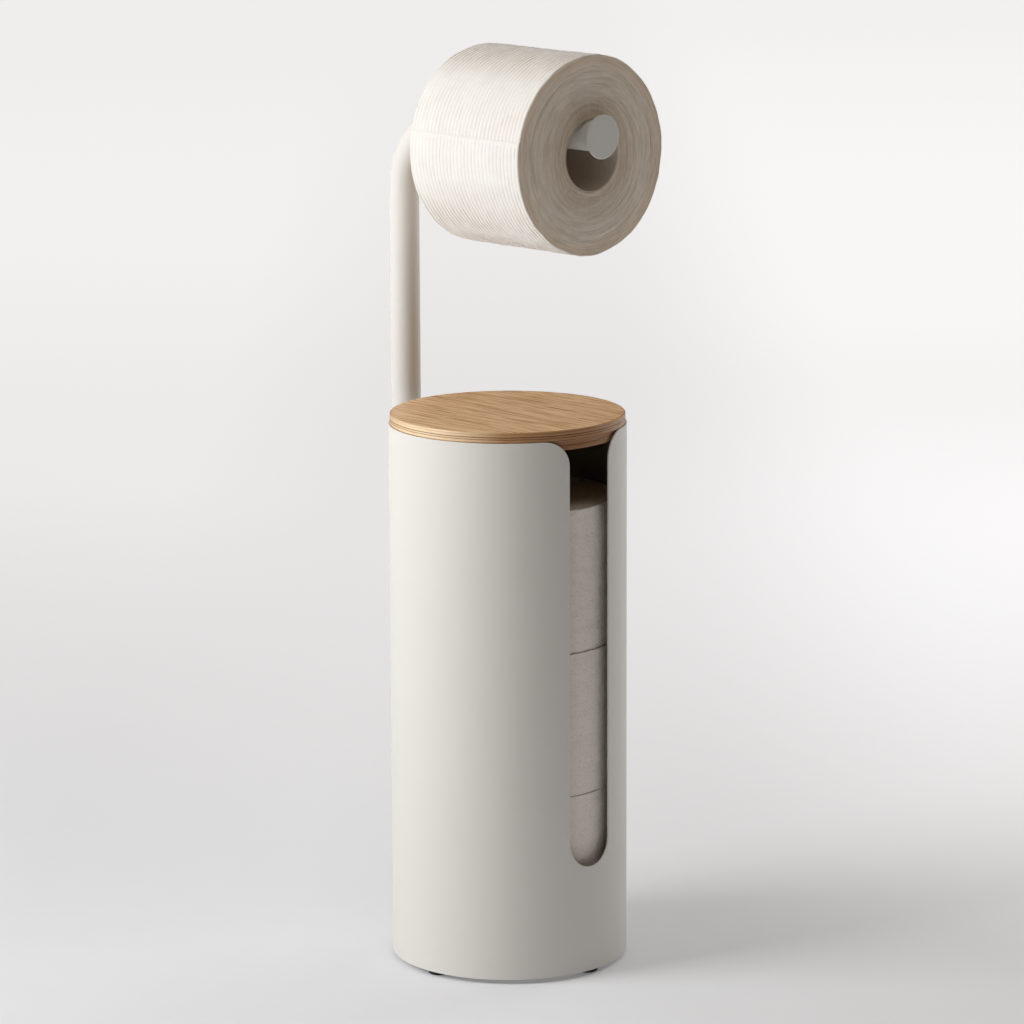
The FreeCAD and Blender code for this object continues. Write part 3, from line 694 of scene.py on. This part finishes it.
def rounded(radius, height, size, first_deg, last_deg, material):
    """Profile points of a rounded corner whose centre is at a radius and height."""
    steps = 4
    points = []
    for step in range(steps + 1):
        turn = math.radians(first_deg + (last_deg - first_deg) * step / steps)
        points.append((radius + size * math.cos(turn), height + size * math.sin(turn), material))
    return points


def grown(name, tree, values, placement):
    """A plain mesh object made by a geometry node tree with these input values."""
    item = linked(name, bpy.data.meshes.new(f"{name}_seed"))
    modifier = item.modifiers.new("shape", "NODES")
    modifier.node_group = tree
    for socket in tree.interface.items_tree:
        if socket.in_out == "INPUT":
            modifier[socket.identifier] = values[socket.name]
    graph = bpy.context.evaluated_depsgraph_get()
    mesh = bpy.data.meshes.new_from_object(item.evaluated_get(graph))
    item.modifiers.remove(modifier)
    item.data = mesh
    mesh.name = name
    mesh.transform(placement)
    return item


def by_index(tree, kind, values):
    """A field that takes its value from a list by the point's number."""
    item = add(tree, "GeometryNodeIndexSwitch", data_type=kind)
    feed(add(tree, "GeometryNodeInputIndex"), item.inputs["Index"])
    while len(item.index_switch_items) < len(values):
        item.index_switch_items.new()
    for number, value in enumerate(values):
        feed(value, item.inputs[number + 1])
    return item


def cornered(tree, corners, radii, steps):
    """A curve through corners, each rounded by its own radius."""
    line = add(tree, "GeometryNodeCurvePrimitiveLine")
    points = add(tree, "GeometryNodeResampleCurve", {"Curve": line, "Count": len(corners)})
    places = by_index(tree, "VECTOR", [vector(tree, *corner) for corner in corners])
    bent = add(tree, "GeometryNodeSetPosition", {"Geometry": points, "Position": places})
    inputs = {"Curve": bent, "Radius": by_index(tree, "FLOAT", radii), "Count": steps}
    return add(tree, "GeometryNodeFilletCurve", inputs, mode="POLY")


def stored(tree, geometry, name, value):
    """Keep a value on the mesh's points, for the materials."""
    inputs = {"Geometry": geometry, "Name": name, "Value": value}
    return add(tree, "GeometryNodeStoreNamedAttribute", inputs, data_type="FLOAT", domain="POINT")


def realised(tree, geometry):
    """Smooth geometry with no instances left in it."""
    smooth = add(tree, "GeometryNodeSetShadeSmooth", {"Geometry": geometry})
    return add(tree, "GeometryNodeRealizeInstances", {"Geometry": smooth})


def with_material(tree, geometry, material, chosen=True):
    inputs = {"Geometry": geometry, "Selection": chosen, "Material": material}
    return add(tree, "GeometryNodeSetMaterial", inputs)


def bent_tube():
    """Round tube that goes up the pole and turns forward into the arm."""
    bend_steps = 40
    section_steps = 64
    inputs = typed(
        Float="Tube Radius, Bend Radius, Pole Back, Lower End, Arm Height, Arm End", Material="Coat"
    )
    tree, given, out = new_tree("bent_tube", "GeometryNodeTree", inputs, GEOMETRY_OUT)
    back, height = given["Pole Back"], given["Arm Height"]
    corners = [
        (0.0, back, given["Lower End"]), (0.0, back, height), (0.0, given["Arm End"], height),
    ]
    path = cornered(tree, corners, [0.0, given["Bend Radius"], 0.0], bend_steps)
    circle = {"Resolution": section_steps, "Radius": given["Tube Radius"]}
    section = add(tree, "GeometryNodeCurvePrimitiveCircle", circle)
    skin = add(tree, "GeometryNodeCurveToMesh", {"Curve": path, "Profile Curve": section})
    feed(with_material(tree, realised(tree, skin), given["Coat"]), out["Geometry"])
    return tree


def wound_roll():
    """Wound paper about Z, with ribs, a loose edge and layered ends.

    Its section is carried round the axis; the noise is that of a roll of radius one.
    """
    seam_share = 0.0007
    bore_round = 0.3 * MM
    corner_steps = 8
    weld = 0.02 * MM
    waver_scale, waver_size = 2.5, 1.6
    rib_sharpness = 0.5
    fade_scale, dent_scale, pucker_scale = 3.2, 1.1, 9.0
    sag_scale, sag_depth, sag_reach = 2.4, 2.0, 9.0 * MM
    ring_count, ring_drift, ring_waver, other_end = 38.0, 1.3, 0.5, 9.0
    groove_share, groove_width, groove_scale = 0.83, 0.7 * MM, 1.4
    groove_waver, groove_depth, groove_tone = 0.4 * MM, 0.8, 0.6
    # Shares of a turn from the loose edge, over which the sheet grows slack and taut again
    slack_from, slack_to = (0.10, 0.17), (0.84, 0.93)
    far_from, far_to, far_hold = (0.20, 0.35), (0.62, 0.77), 0.65
    inputs = typed(
        Float="Outer Radius, Core Radius, Length, Edge Round, Rib Evenness, Rib Depth, Rib Tone, "
        "Loose Step, Out of Round, Pucker, Ring Depth, Seed, End Start",
        Int="Ribs, Columns, Rows", Material="Face, End",
    )
    tree, given, out = new_tree("wound_roll", "GeometryNodeTree", inputs, GEOMETRY_OUT)
    outer, core, span = given["Outer Radius"], given["Core Radius"], given["Length"]
    edge, columns, rows = given["Edge Round"], given["Columns"], given["Rows"]

    sides = {"Size X": 1.0, "Size Y": 1.0, "Vertices X": columns, "Vertices Y": rows}
    grid = add(tree, "GeometryNodeMeshGrid", sides)
    across, along, _ = parts(tree, add(tree, "GeometryNodeInputPosition"))

    # The last column is narrow and comes back to the first, so it holds the loose edge's step.
    column = (across + 0.5) * (columns - 1)
    closing = column.above(columns - 1.5)
    turned = column.ramp(0.0, columns - 2)
    wound = turned * (1.0 - closing)
    turn = (turned * (1.0 - seam_share) + closing * seam_share) * math.tau
    cosine = turn.calc("COSINE")
    sine = turn.calc("SINE")

    # The section starts in the middle of the bore, which takes one row at each end.
    middle = span * 0.5
    corners = [
        (core, 0.0, middle), (core, 0.0, 0.0), (outer, 0.0, 0.0),
        (outer, 0.0, span), (core, 0.0, span), (core, 0.0, middle),
    ]
    radii = [0.0, bore_round, edge, edge, bore_round, 0.0]
    section = cornered(tree, corners, radii, corner_steps)
    bore = middle / (span * 2.0 + (outer - core) * 2.0)
    row = (along + 0.5) * (rows - 1)
    factor = row.ramp(1.0, rows - 2, bore, 1.0 - bore)
    factor = factor - bore * (1.0 - row.above(0.5)) + bore * row.above(rows - 1.5)
    asked = {"Curves": section, "Factor": factor}
    sample = add(tree, "GeometryNodeSampleCurve", asked, mode="FACTOR")
    radius, _, height = parts(tree, sample.outputs["Position"])

    body = (radius - core) / (outer - core)
    face = radius.ramp(outer - edge, outer - edge * 0.2)
    end = 1.0 - face

    # Ribs run round the roll; their furrows waver, and fade in and out.
    around = vector(tree, cosine + given["Seed"], sine, height / outer)
    waver = (noise(tree, around, waver_scale) - 0.5) * waver_size
    phase = height / span * given["Ribs"] * math.pi + waver
    furrow = 1.0 - phase.calc("SINE").calc("ABSOLUTE") ** rib_sharpness
    fade = noise(tree, around, fade_scale, detail=3.0).ramp(0.3, 0.62, given["Rib Evenness"], 1.0)
    furrow = furrow * face * fade * column.ramp(columns - 3.5, columns - 2, 1.0, 0.0)
    # They are faint near the loose edge, where the sheet is pulled smooth, and weaker opposite it.
    slack = turned.ramp(*slack_from) * turned.ramp(*slack_to, 1.0, 0.0)
    opposite = turned.ramp(*far_from) * turned.ramp(*far_to, 1.0, 0.0)
    slack = slack * (1.0 - opposite * far_hold)
    # How strongly the furrows' painted shade shows round the roll
    tone = turned.ramp(0.03, 0.07, 0.5, 0.2) + turned.ramp(0.8, 0.95, 0.0, 0.3) + slack * 1.4

    dent = noise(tree, around, dent_scale).ramp(0.28, 0.72)
    pucker = noise(tree, around, pucker_scale, detail=3.0) * (slack * 2.2 + 0.4)
    from_end = height.calc("MINIMUM", span - height)
    sag = from_end.ramp(0.0, sag_reach, sag_depth, 0.0, smooth=True)
    sag = sag * noise(tree, around, sag_scale).ramp(0.45, 0.7)
    sunk = body * (given["Out of Round"] * (dent + sag) + given["Pucker"] * pucker)
    step = given["Loose Step"] * face * (1.0 - wound)
    shrunk = radius - furrow * given["Rib Depth"] - sunk - step

    # The rings differ from one end to the other, and drift a little round the roll.
    ring = radius / outer * ring_count + waver * ring_waver
    arc = given["Seed"] + cosine * ring_drift
    ring_place = vector(tree, ring, arc, sine * ring_drift + along.above(0.0) * other_end)
    rings = noise(tree, ring_place, 1.0, detail=4.0, roughness=0.65)
    off_groove = (radius - outer * groove_share + waver * groove_waver) / groove_width
    groove = (off_groove * off_groove * -1.0).calc("EXPONENT")
    groove = groove * noise(tree, around, groove_scale).ramp(0.42, 0.62)
    inward = 1.0 - 2.0 * along.above(0.0)
    relief = given["Ring Depth"] * (rings + groove * groove_depth + pucker * 0.5) * end
    level = height + inward * relief * body.ramp(0.0, 0.06)

    place = vector(tree, shrunk * cosine, shrunk * sine, level)
    # Painted shade: darker rings and a groove on the ends, and darker furrows, kept as the hollow
    # mark
    gap = (rings.ramp(0.45, 0.75) + groove * groove_tone) * end
    geometry = stored(tree, grid, "hollow", furrow * tone * given["Rib Tone"] + gap)
    geometry = stored(tree, geometry, "end_face", end)
    shaped = add(tree, "GeometryNodeSetPosition", {"Geometry": geometry, "Position": place})
    closed = add(tree, "GeometryNodeMergeByDistance", {"Geometry": shaped, "Distance": weld})
    ends = add(tree, "GeometryNodeInputNamedAttribute", {"Name": "end_face"}, data_type="FLOAT")
    faced = with_material(tree, realised(tree, closed), given["Face"])
    at_end = Formula(ends.outputs[0]).above(given["End Start"])
    feed(with_material(tree, faced, given["End"], at_end), out["Geometry"])
    return tree


def named_values(sizes):
    """A property group's values by the names that its properties show."""
    shown = sizes.bl_rna.properties
    return {item.name: getattr(sizes, item.identifier) for item in shown}


def roll_values(sizes, outer, core, span, face, end, seed):
    """Inputs of the wound_roll tree for one roll, most of which are named as its sizes are."""
    return named_values(sizes) | {
        "Outer Radius": outer, "Core Radius": core, "Length": span, "Face": face, "End": end,
        "Columns": 200, "Rows": 420, "Seed": seed,
    }


def card_tube(name, outer, span, placement, finish):
    """Card core, with its cut ends a little rounded."""
    nip = CARD_WALL * 0.35
    inner = outer - CARD_WALL
    card = finished("grey_card", grey_card, finish)
    profile = rounded(outer - nip, nip, nip, -90.0, 0.0, 0)
    profile += rounded(outer - nip, span - nip, nip, 0.0, 90.0, 0)
    profile += rounded(inner + nip, span - nip, nip, 90.0, 180.0, 0)
    profile += rounded(inner + nip, nip, nip, 180.0, 270.0, 0)
    return lathe(name, profile, placement, [card], segments=128)


# Pieces


def seated_roll(name, body, values, spun, core, span, placement, finish):
    """A roll's paper and its card core, each on the roll's body."""
    paper = grown(f"{name}_tissue", shared(wound_roll), values, spun)
    seated(paper, body, "tissue", f"{name}_paper")
    tube = card_tube(f"{name}_card", core, span, placement, finish)
    seated(tube, body, "core_card", f"{name}_core")


def slotted_sheet(sizes):
    """The canister's sheet as a mesh of upright columns, open at the slot.

    Each column has its angle from the front, the height of its lower stretch and,
    beside the slot, the height of its upper stretch.
    """
    slot_steps = 14
    flare_steps = 12
    wall_steps = 150
    lower_rows = 8
    upper_rows = 18
    half = sizes.slot_width / 2
    foot = sizes.bottom + sizes.slot_foot + half
    shoulder = sizes.rim - sizes.slot_corner

    def bearing(across):
        return math.asin(across / sizes.radius)

    right = []
    for step in range(slot_steps):
        turn = math.pi / 2 * step / slot_steps
        right.append((bearing(half * math.sin(turn)), foot - half * math.cos(turn), None))
    for step in range(flare_steps + 1):
        turn = math.pi / 2 * step / flare_steps
        across = half + sizes.slot_corner * (1.0 - math.cos(turn))
        right.append((bearing(across), foot, shoulder + sizes.slot_corner * math.sin(turn)))
    left = [(math.tau - side, low, high) for side, low, high in reversed(right[1:])]
    first = right[-1][0]
    step_angle = (math.tau - 2 * first) / wall_steps
    wall = [(first + step_angle * step, foot, sizes.rim) for step in range(1, wall_steps)]
    columns = right + wall + left

    bm = bmesh.new()
    posts = []
    for side, low, high in columns:
        rise = low - sizes.bottom
        heights = [sizes.bottom + rise * row / lower_rows for row in range(lower_rows + 1)]
        if high is not None:
            heights += [low + (high - low) * row / upper_rows for row in range(1, upper_rows + 1)]
        x = sizes.radius * math.sin(side)
        y = -sizes.radius * math.cos(side)
        posts.append([bm.verts.new((x, y, height)) for height in heights])
    for post, following in zip(posts, posts[1:] + posts[:1]):
        for row in range(min(len(post), len(following)) - 1):
            face = bm.faces.new((post[row], following[row], following[row + 1], post[row + 1]))
            face.smooth = True
    return as_mesh(bm, "canister")


def thickened(item, wall, inner=None):
    """Give a sheet its wall, inwards, with an inner material of its own if it has one."""
    modifier = item.modifiers.new("wall", "SOLIDIFY")
    modifier.thickness = wall
    modifier.offset = -1.0
    modifier.use_even_offset = True
    if inner:
        item.data.materials.append(inner)
        modifier.material_offset = 1


def softened(item, width):
    """Round off the sharp edges."""
    sharp_deg = 50.0
    modifier = item.modifiers.new("edges", "BEVEL")
    modifier.width = width
    modifier.segments = 3
    modifier.limit_method = "ANGLE"
    modifier.angle_limit = math.radians(sharp_deg)
    modifier.harden_normals = True


class STAND_OT_canister(bpy.types.Operator):
    """Build the slotted sheet canister"""

    bl_idname = "stand.canister"
    bl_label = "Canister"

    def execute(self, context):
        sizes = context.scene.stand_canister
        canister = linked("canister", slotted_sheet(sizes))
        finish = context.scene.stand_finish
        canister.data.materials.append(finished("sprayed_coat", grained, finish))
        # The inside takes the darker coat, as painted shade within the canister
        thickened(canister, sizes.wall, finished("inner_coat", grained, finish))
        softened(canister, sizes.edge_round)
        seated(canister, "stand", "powder_coat", "canister_shell")
        return {"FINISHED"}


class STAND_OT_lid(bpy.types.Operator):
    """Build the plywood lid"""

    bl_idname = "stand.lid"
    bl_label = "Lid"

    def layered(self, lid, radius, top, bottom):
        """Profile of a turned edge, a little hollow at the dark layers."""
        points = []
        upper = lid.top
        for thickness, tone in PLIES:
            lower = upper - thickness * MM
            if tone > GLUE_TONE and upper < top and lower > bottom:
                points.append((radius, upper, 1))
                points.append((radius - lid.glue_depth, (upper + lower) / 2, 1))
                points.append((radius, lower, 1))
            upper = lower
        return points

    def execute(self, context):
        lid = context.scene.stand_lid
        finish = context.scene.stand_finish
        rim = context.scene.stand_canister.rim
        nip = lid.edge_round
        inset = 4 * nip
        profile = [(0.0, lid.top, 0), (lid.lip_radius - inset, lid.top, 0)]
        profile += rounded(lid.lip_radius - nip, lid.top - nip, nip, 90.0, 0.0, 1)
        ease = lid.lip_round
        profile += self.layered(lid, lid.lip_radius, lid.top - nip, rim + ease)
        profile += rounded(lid.lip_radius - ease, rim + ease, ease, 0.0, -90.0, 1)
        profile += [(lid.plug_radius, rim, 1)]
        profile += self.layered(lid, lid.plug_radius, rim, lid.bottom + nip)
        profile += rounded(lid.plug_radius - nip, lid.bottom + nip, nip, 0.0, -90.0, 1)
        profile += [(lid.plug_radius - inset, lid.bottom, 0), (0.0, lid.bottom, 0)]
        materials = [
            finished("oak_veneer", oak_veneer, finish),
            finished("ply_edge", ply_edge, finish, lid),
        ]
        board = lathe("lid", profile, UPRIGHT, materials, segments=192)
        seated(board, "lid", "oak_plywood", "lid_board")
        return {"FINISHED"}


class STAND_OT_pole(bpy.types.Operator):
    """Build the bent tube and the disc on its end"""

    bl_idname = "stand.pole"
    bl_label = "Pole and Arm"

    def execute(self, context):
        spigot_play = 0.1 * MM
        pole = context.scene.stand_pole
        coat = finished("sprayed_coat", grained, context.scene.stand_finish)
        back = POLE_HIGH.y - pole.tube_radius
        arm_height = POLE_HIGH.z - pole.tube_radius
        values = named_values(pole) | {
            "Pole Back": back, "Arm Height": arm_height, "Arm End": POLE_LOW.y, "Coat": coat,
        }
        tube = grown("pole_and_arm", shared(bent_tube), values, UPRIGHT)
        thickened(tube, pole.tube_wall)
        seated(tube, "stand", "powder_coat", "pole_tube")

        nip = pole.disc_round
        spigot = pole.tube_radius - pole.tube_wall - spigot_play
        depth = DISC_HIGH.y - DISC_LOW.y
        profile = [(0.0, 0.0, 0), (pole.disc_radius - 3 * nip, 0.0, 0)]
        profile += rounded(pole.disc_radius - nip, nip, nip, -90.0, 0.0, 0)
        profile += rounded(pole.disc_radius - nip, pole.disc_thickness - nip, nip, 0.0, 90.0, 0)
        profile += [(spigot, pole.disc_thickness, 0), (spigot, depth, 0), (0.0, depth, 0)]
        facing = Matrix.Translation((0.0, DISC_LOW.y, arm_height)) @ LAID_BACK
        disc = lathe("arm_end_disc", profile, facing, [coat], segments=96)
        seated(disc, "stand", "powder_coat", "end_disc")
        return {"FINISHED"}


class STAND_OT_hanging_roll(bpy.types.Operator):
    """Build the roll in use, with its card core"""

    bl_idname = "stand.hanging_roll"
    bl_label = "Roll in Use"

    def execute(self, context):
        sizes = context.scene.stand_hanging_roll
        finish = context.scene.stand_finish
        middle = (ROLL_LOW + ROLL_HIGH) / 2
        front = Vector((middle.x, ROLL_LOW.y, middle.z))
        laid = Matrix.Translation(front) @ LAID_BACK
        outer = (ROLL_HIGH.z - ROLL_LOW.z) / 2
        face = finished(
            "tissue_ribbed", tissue_face, finish, finish.tissue,
            fibre_scale=FIBRE_SCALE, mottle=0.2, relief=0.12 * MM,
        )
        tints = (finish.layers, finish.layers_rim_glow, finish.layers_shade)
        turn = LAID_BACK.to_3x3().inverted()
        end = finished("tissue_layers", tissue_end, *tints, outer, front, turn)
        core = (ROLL_CORE_HIGH.z - ROLL_CORE_LOW.z) / 2
        span = ROLL_HIGH.y - ROLL_LOW.y
        values = roll_values(sizes, outer, core, span, face, end, seed=0.0)
        spun = laid @ Matrix.Rotation(-sizes.loose_angle, 4, "Z")
        seated_roll("hanging_roll", "hanging_roll", values, spun, core, span, laid, finish)
        return {"FINISHED"}


class STAND_OT_spare_rolls(bpy.types.Operator):
    """Build the spare rolls in the canister"""

    bl_idname = "stand.spare_rolls"
    bl_label = "Spare Rolls"

    def execute(self, context):
        sizes = context.scene.stand_spare_rolls
        finish = context.scene.stand_finish
        # The spare rolls' paper is made paler as painted light against the shade in the slot
        face = finished(
            "tissue_embossed", tissue_face, finish, finish.spare_tissue,
            fibre_scale=620.0, mottle=1.5, relief=0.8 * MM, squeeze=3.5,
        )
        # The spare rolls' ends take the darker paper, as painted shade inside the canister
        tints = (finish.spare_layers, finish.spare_layers, finish.spare_shade)
        outer = SPARE_HIGH.x
        end = finished("spare_layers", tissue_end, *tints, outer, Vector(), Matrix.Identity(3))
        core = SPARE_CORE_HIGH.x
        span = SPARE_HIGH.z - SPARE_LOW.z
        soft_span = span + sizes.swell * 2
        seed_step = 7.0
        bodies = {"bottom": "stand", "middle": "stand", "top": "spare_roll"}
        for number, (where, body) in enumerate(bodies.items(), start=1):
            name = f"spare_roll_{where}"
            stood = Matrix.Translation((0.0, 0.0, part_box(f"{name}_paper")[0].z))
            seed = seed_step * number
            values = roll_values(sizes, outer, core, soft_span, face, end, seed)
            lowered = stood @ Matrix.Translation((0.0, 0.0, -sizes.swell))
            spun = lowered @ Matrix.Rotation(sizes.loose_angle * number, 4, "Z")
            seated_roll(name, body, values, spun, core, span, stood, finish)
        return {"FINISHED"}


class STAND_OT_base(bpy.types.Operator):
    """Finish the base pan, ballast, floor plate, base bolt and feet"""

    bl_idname = "stand.base"
    bl_label = "Base and Feet"

    def execute(self, context):
        finish = context.scene.stand_finish
        dressed(("base_pan", "floor_plate"), "sprayed_coat", finish)
        dressed(("base_weight",), "cast_iron", finish)
        dressed(("base_bolt", "base_washer", "base_nut"), "plated_steel", finish)
        feet = [f"foot_{side}" for side in ("front", "right", "back", "left")]
        dressed(feet, "foot_rubber", finish)
        return {"FINISHED"}


class STAND_OT_fixings(bpy.types.Operator):
    """Finish the stand-offs, screws and plug that hold and close the pole"""

    bl_idname = "stand.fixings"
    bl_label = "Pole Fixings"

    def execute(self, context):
        finish = context.scene.stand_finish
        plastic = ("standoff_lower", "standoff_upper", "pole_end_plug")
        metal = ("pole_screws", "pole_washers", "pole_rivet_nuts")
        dressed(plastic, "moulded_nylon", finish)
        dressed(metal, "plated_steel", finish)
        return {"FINISHED"}


class STAND_OT_stage(bpy.types.Operator):
    """Set up the floor, the studio light and the camera"""

    bl_idname = "stand.stage"
    bl_label = "Stage"

    def floor(self, stage, finish):
        """Pale floor with a painted glow that grows lighter away from the stand, standing in for a
        lit studio sweep.
        """
        # Stretches in metres, behind the stand and beside it, over which each light comes and goes
        far_start, far_reach = 0.35, 1.08
        right_near, right_far, right_side = (-0.08, 0.12), (2.5, 6.0), (0.1, 0.4)
        left_near, left_far, left_side = (0.3, 1.5), (3.0, 5.5), (-0.32, -0.14)
        backdrop_side, backdrop_widening = (0.35, 1.5), 0.35
        mottle_scale, mottle_tone = 30.0, 0.02
        bm = bmesh.new()
        bmesh.ops.create_circle(bm, cap_ends=True, segments=96, radius=stage.floor_radius)
        mesh = as_mesh(bm, "floor")
        material, tree, place = new_material("studio_floor")
        x, y, _ = parts(tree, place)
        ahead = Matrix.Rotation(stage.azimuth, 3, "Z")
        behind = x * ahead[0][1] + y * ahead[1][1]
        beside = x * ahead[0][0] + y * ahead[1][0]
        away = behind.calc("MAXIMUM", 0.0)
        far = 1.0 - (away * away / (away + far_start) * (-1.0 / far_reach)).calc("EXPONENT")
        # Painted light that thins the stand's shadow on the floor to its right
        right = behind.ramp(*right_near, smooth=True) * beside.ramp(*right_side, smooth=True)
        right = right * behind.ramp(*right_far, 1.0, 0.2)
        # Painted shade on the near floor at the left, and painted light further out
        left = beside.ramp(*left_side, 1.0, 0.0) * behind.ramp(*left_near, -1.2, 1.0)
        left = left * behind.ramp(*left_far, 1.0, 0.0)
        glow = far * stage.back_glow + right * stage.side_glow
        glow = glow + left * stage.left_glow + stage.floor_glow
        # Only the camera sees the backdrop, so it adds no light to the stand.
        seen = Formula(add(tree, "ShaderNodeLightPath").outputs["Is Camera Ray"])
        aside = beside.calc("ABSOLUTE") - away * backdrop_widening
        glow = glow + seen * aside.ramp(*backdrop_side, smooth=True) * stage.backdrop_glow
        mottle = noise(tree, place, mottle_scale)
        tint = dimmed(tree, finish.floor, 1.0 - mottle * mottle_tone)
        shine = dimmed(tree, stage.glow_tint, glow)
        surfaced(tree, tint, 0.85, mottle, 0.01 * MM, Emission_Color=shine, Emission_Strength=1.0)
        mesh.materials.append(material)
        floor = linked("floor", mesh)

    def panel(self, stage, name, power, *, bearing_deg, distance, height, size, spread_deg):
        """Soft square light that faces the middle of the stand.

        Its bearing is measured from the camera's side of the stand, to the right.
        """
        turn = Matrix.Rotation(stage.azimuth + math.radians(bearing_deg), 3, "Z")
        place = turn @ Vector((0.0, -distance, height))
        light = bpy.data.lights.new(name, "AREA")
        light.shape = "SQUARE"
        light.size = size
        light.spread = math.radians(spread_deg)
        light.energy = power
        lamp = linked(name, light)
        aim = Vector((0.0, 0.0, CAD_BOX[1].z * 0.5)) - place
        facing = aim.to_track_quat("-Z", "Y").to_matrix().to_4x4()
        lamp.matrix_world = Matrix.Translation(place) @ facing

    def execute(self, context):
        overhead_deg = 80.0
        sensor_width_mm = 36.0
        stage = context.scene.stand_stage
        self.floor(stage, context.scene.stand_finish)
        self.panel(
            stage, "key_softbox", stage.key_power,
            bearing_deg=-71.5, distance=1.1, height=0.78, size=0.65, spread_deg=180.0,
        )
        self.panel(
            stage, "rim_panel", stage.rim_power,
            bearing_deg=134.0, distance=2.2, height=0.8, size=1.2, spread_deg=110.0,
        )
        top = bpy.data.lights.new("overhead", "SUN")
        top.energy = stage.top_strength
        top.color = stage.top_tint
        top.angle = math.radians(overhead_deg)
        linked("overhead", top)

        world = bpy.data.worlds.new("studio")
        world.use_nodes = True
        backdrop = world.node_tree.nodes["Background"]
        backdrop.inputs["Color"].default_value = (stage.air, stage.air, stage.air, 1.0)
        context.scene.world = world

        camera = bpy.data.cameras.new("camera")
        camera.lens = stage.lens
        camera.sensor_width = sensor_width_mm
        camera.clip_end = 4 * stage.floor_radius
        view = linked("camera", camera)
        facing = Matrix.Rotation(stage.azimuth, 4, "Z")
        offset = Matrix.Translation((stage.aside, -stage.distance, stage.height))
        tilt = Matrix.Rotation(math.pi / 2 - stage.pitch, 4, "X")
        view.matrix_world = facing @ offset @ tilt @ Matrix.Rotation(stage.bank, 4, "Z")
        context.scene.camera = view
        context.scene.view_settings.view_transform = "Standard"
        return {"FINISHED"}


OPERATORS = (
    STAND_OT_canister,
    STAND_OT_lid,
    STAND_OT_pole,
    STAND_OT_hanging_roll,
    STAND_OT_spare_rolls,
    STAND_OT_base,
    STAND_OT_fixings,
    STAND_OT_stage,
)


class STAND_PT_build(bpy.types.Panel):
    """Pieces of the stand, in the order that they are built"""

    bl_idname = "STAND_PT_build"
    bl_label = "Toilet Paper Stand"
    bl_space_type = "VIEW_3D"
    bl_region_type = "UI"
    bl_category = "Stand"

    def draw(self, context):
        for operator in OPERATORS:
            self.layout.operator(operator.bl_idname)
        for name, group in PROPERTY_GROUPS.items():
            box = self.layout.box()
            box.label(text=group.__doc__)
            for key in group.__annotations__:
                box.prop(getattr(context.scene, name), key)


PROPERTY_GROUPS = {
    "stand_canister": StandCanister,
    "stand_lid": StandLid,
    "stand_pole": StandPole,
    "stand_hanging_roll": StandHangingRoll,
    "stand_spare_rolls": StandSpareRolls,
    "stand_finish": StandFinish,
    "stand_stage": StandStage,
}


def register():
    for name, group in PROPERTY_GROUPS.items():
        bpy.utils.register_class(group)
        setattr(bpy.types.Scene, name, PointerProperty(type=group))
    for operator in OPERATORS:
        bpy.utils.register_class(operator)
    bpy.utils.register_class(STAND_PT_build)


def unregister():
    bpy.utils.unregister_class(STAND_PT_build)
    for operator in reversed(OPERATORS):
        bpy.utils.unregister_class(operator)
    for name, group in reversed(PROPERTY_GROUPS.items()):
        delattr(bpy.types.Scene, name)
        bpy.utils.unregister_class(group)


def main():
    register()
    bpy.ops.stand.canister()
    bpy.ops.stand.lid()
    bpy.ops.stand.pole()
    bpy.ops.stand.hanging_roll()
    bpy.ops.stand.spare_rolls()
    bpy.ops.stand.base()
    bpy.ops.stand.fixings()
    bpy.ops.stand.stage()


if __name__ == "__main__":
    main()
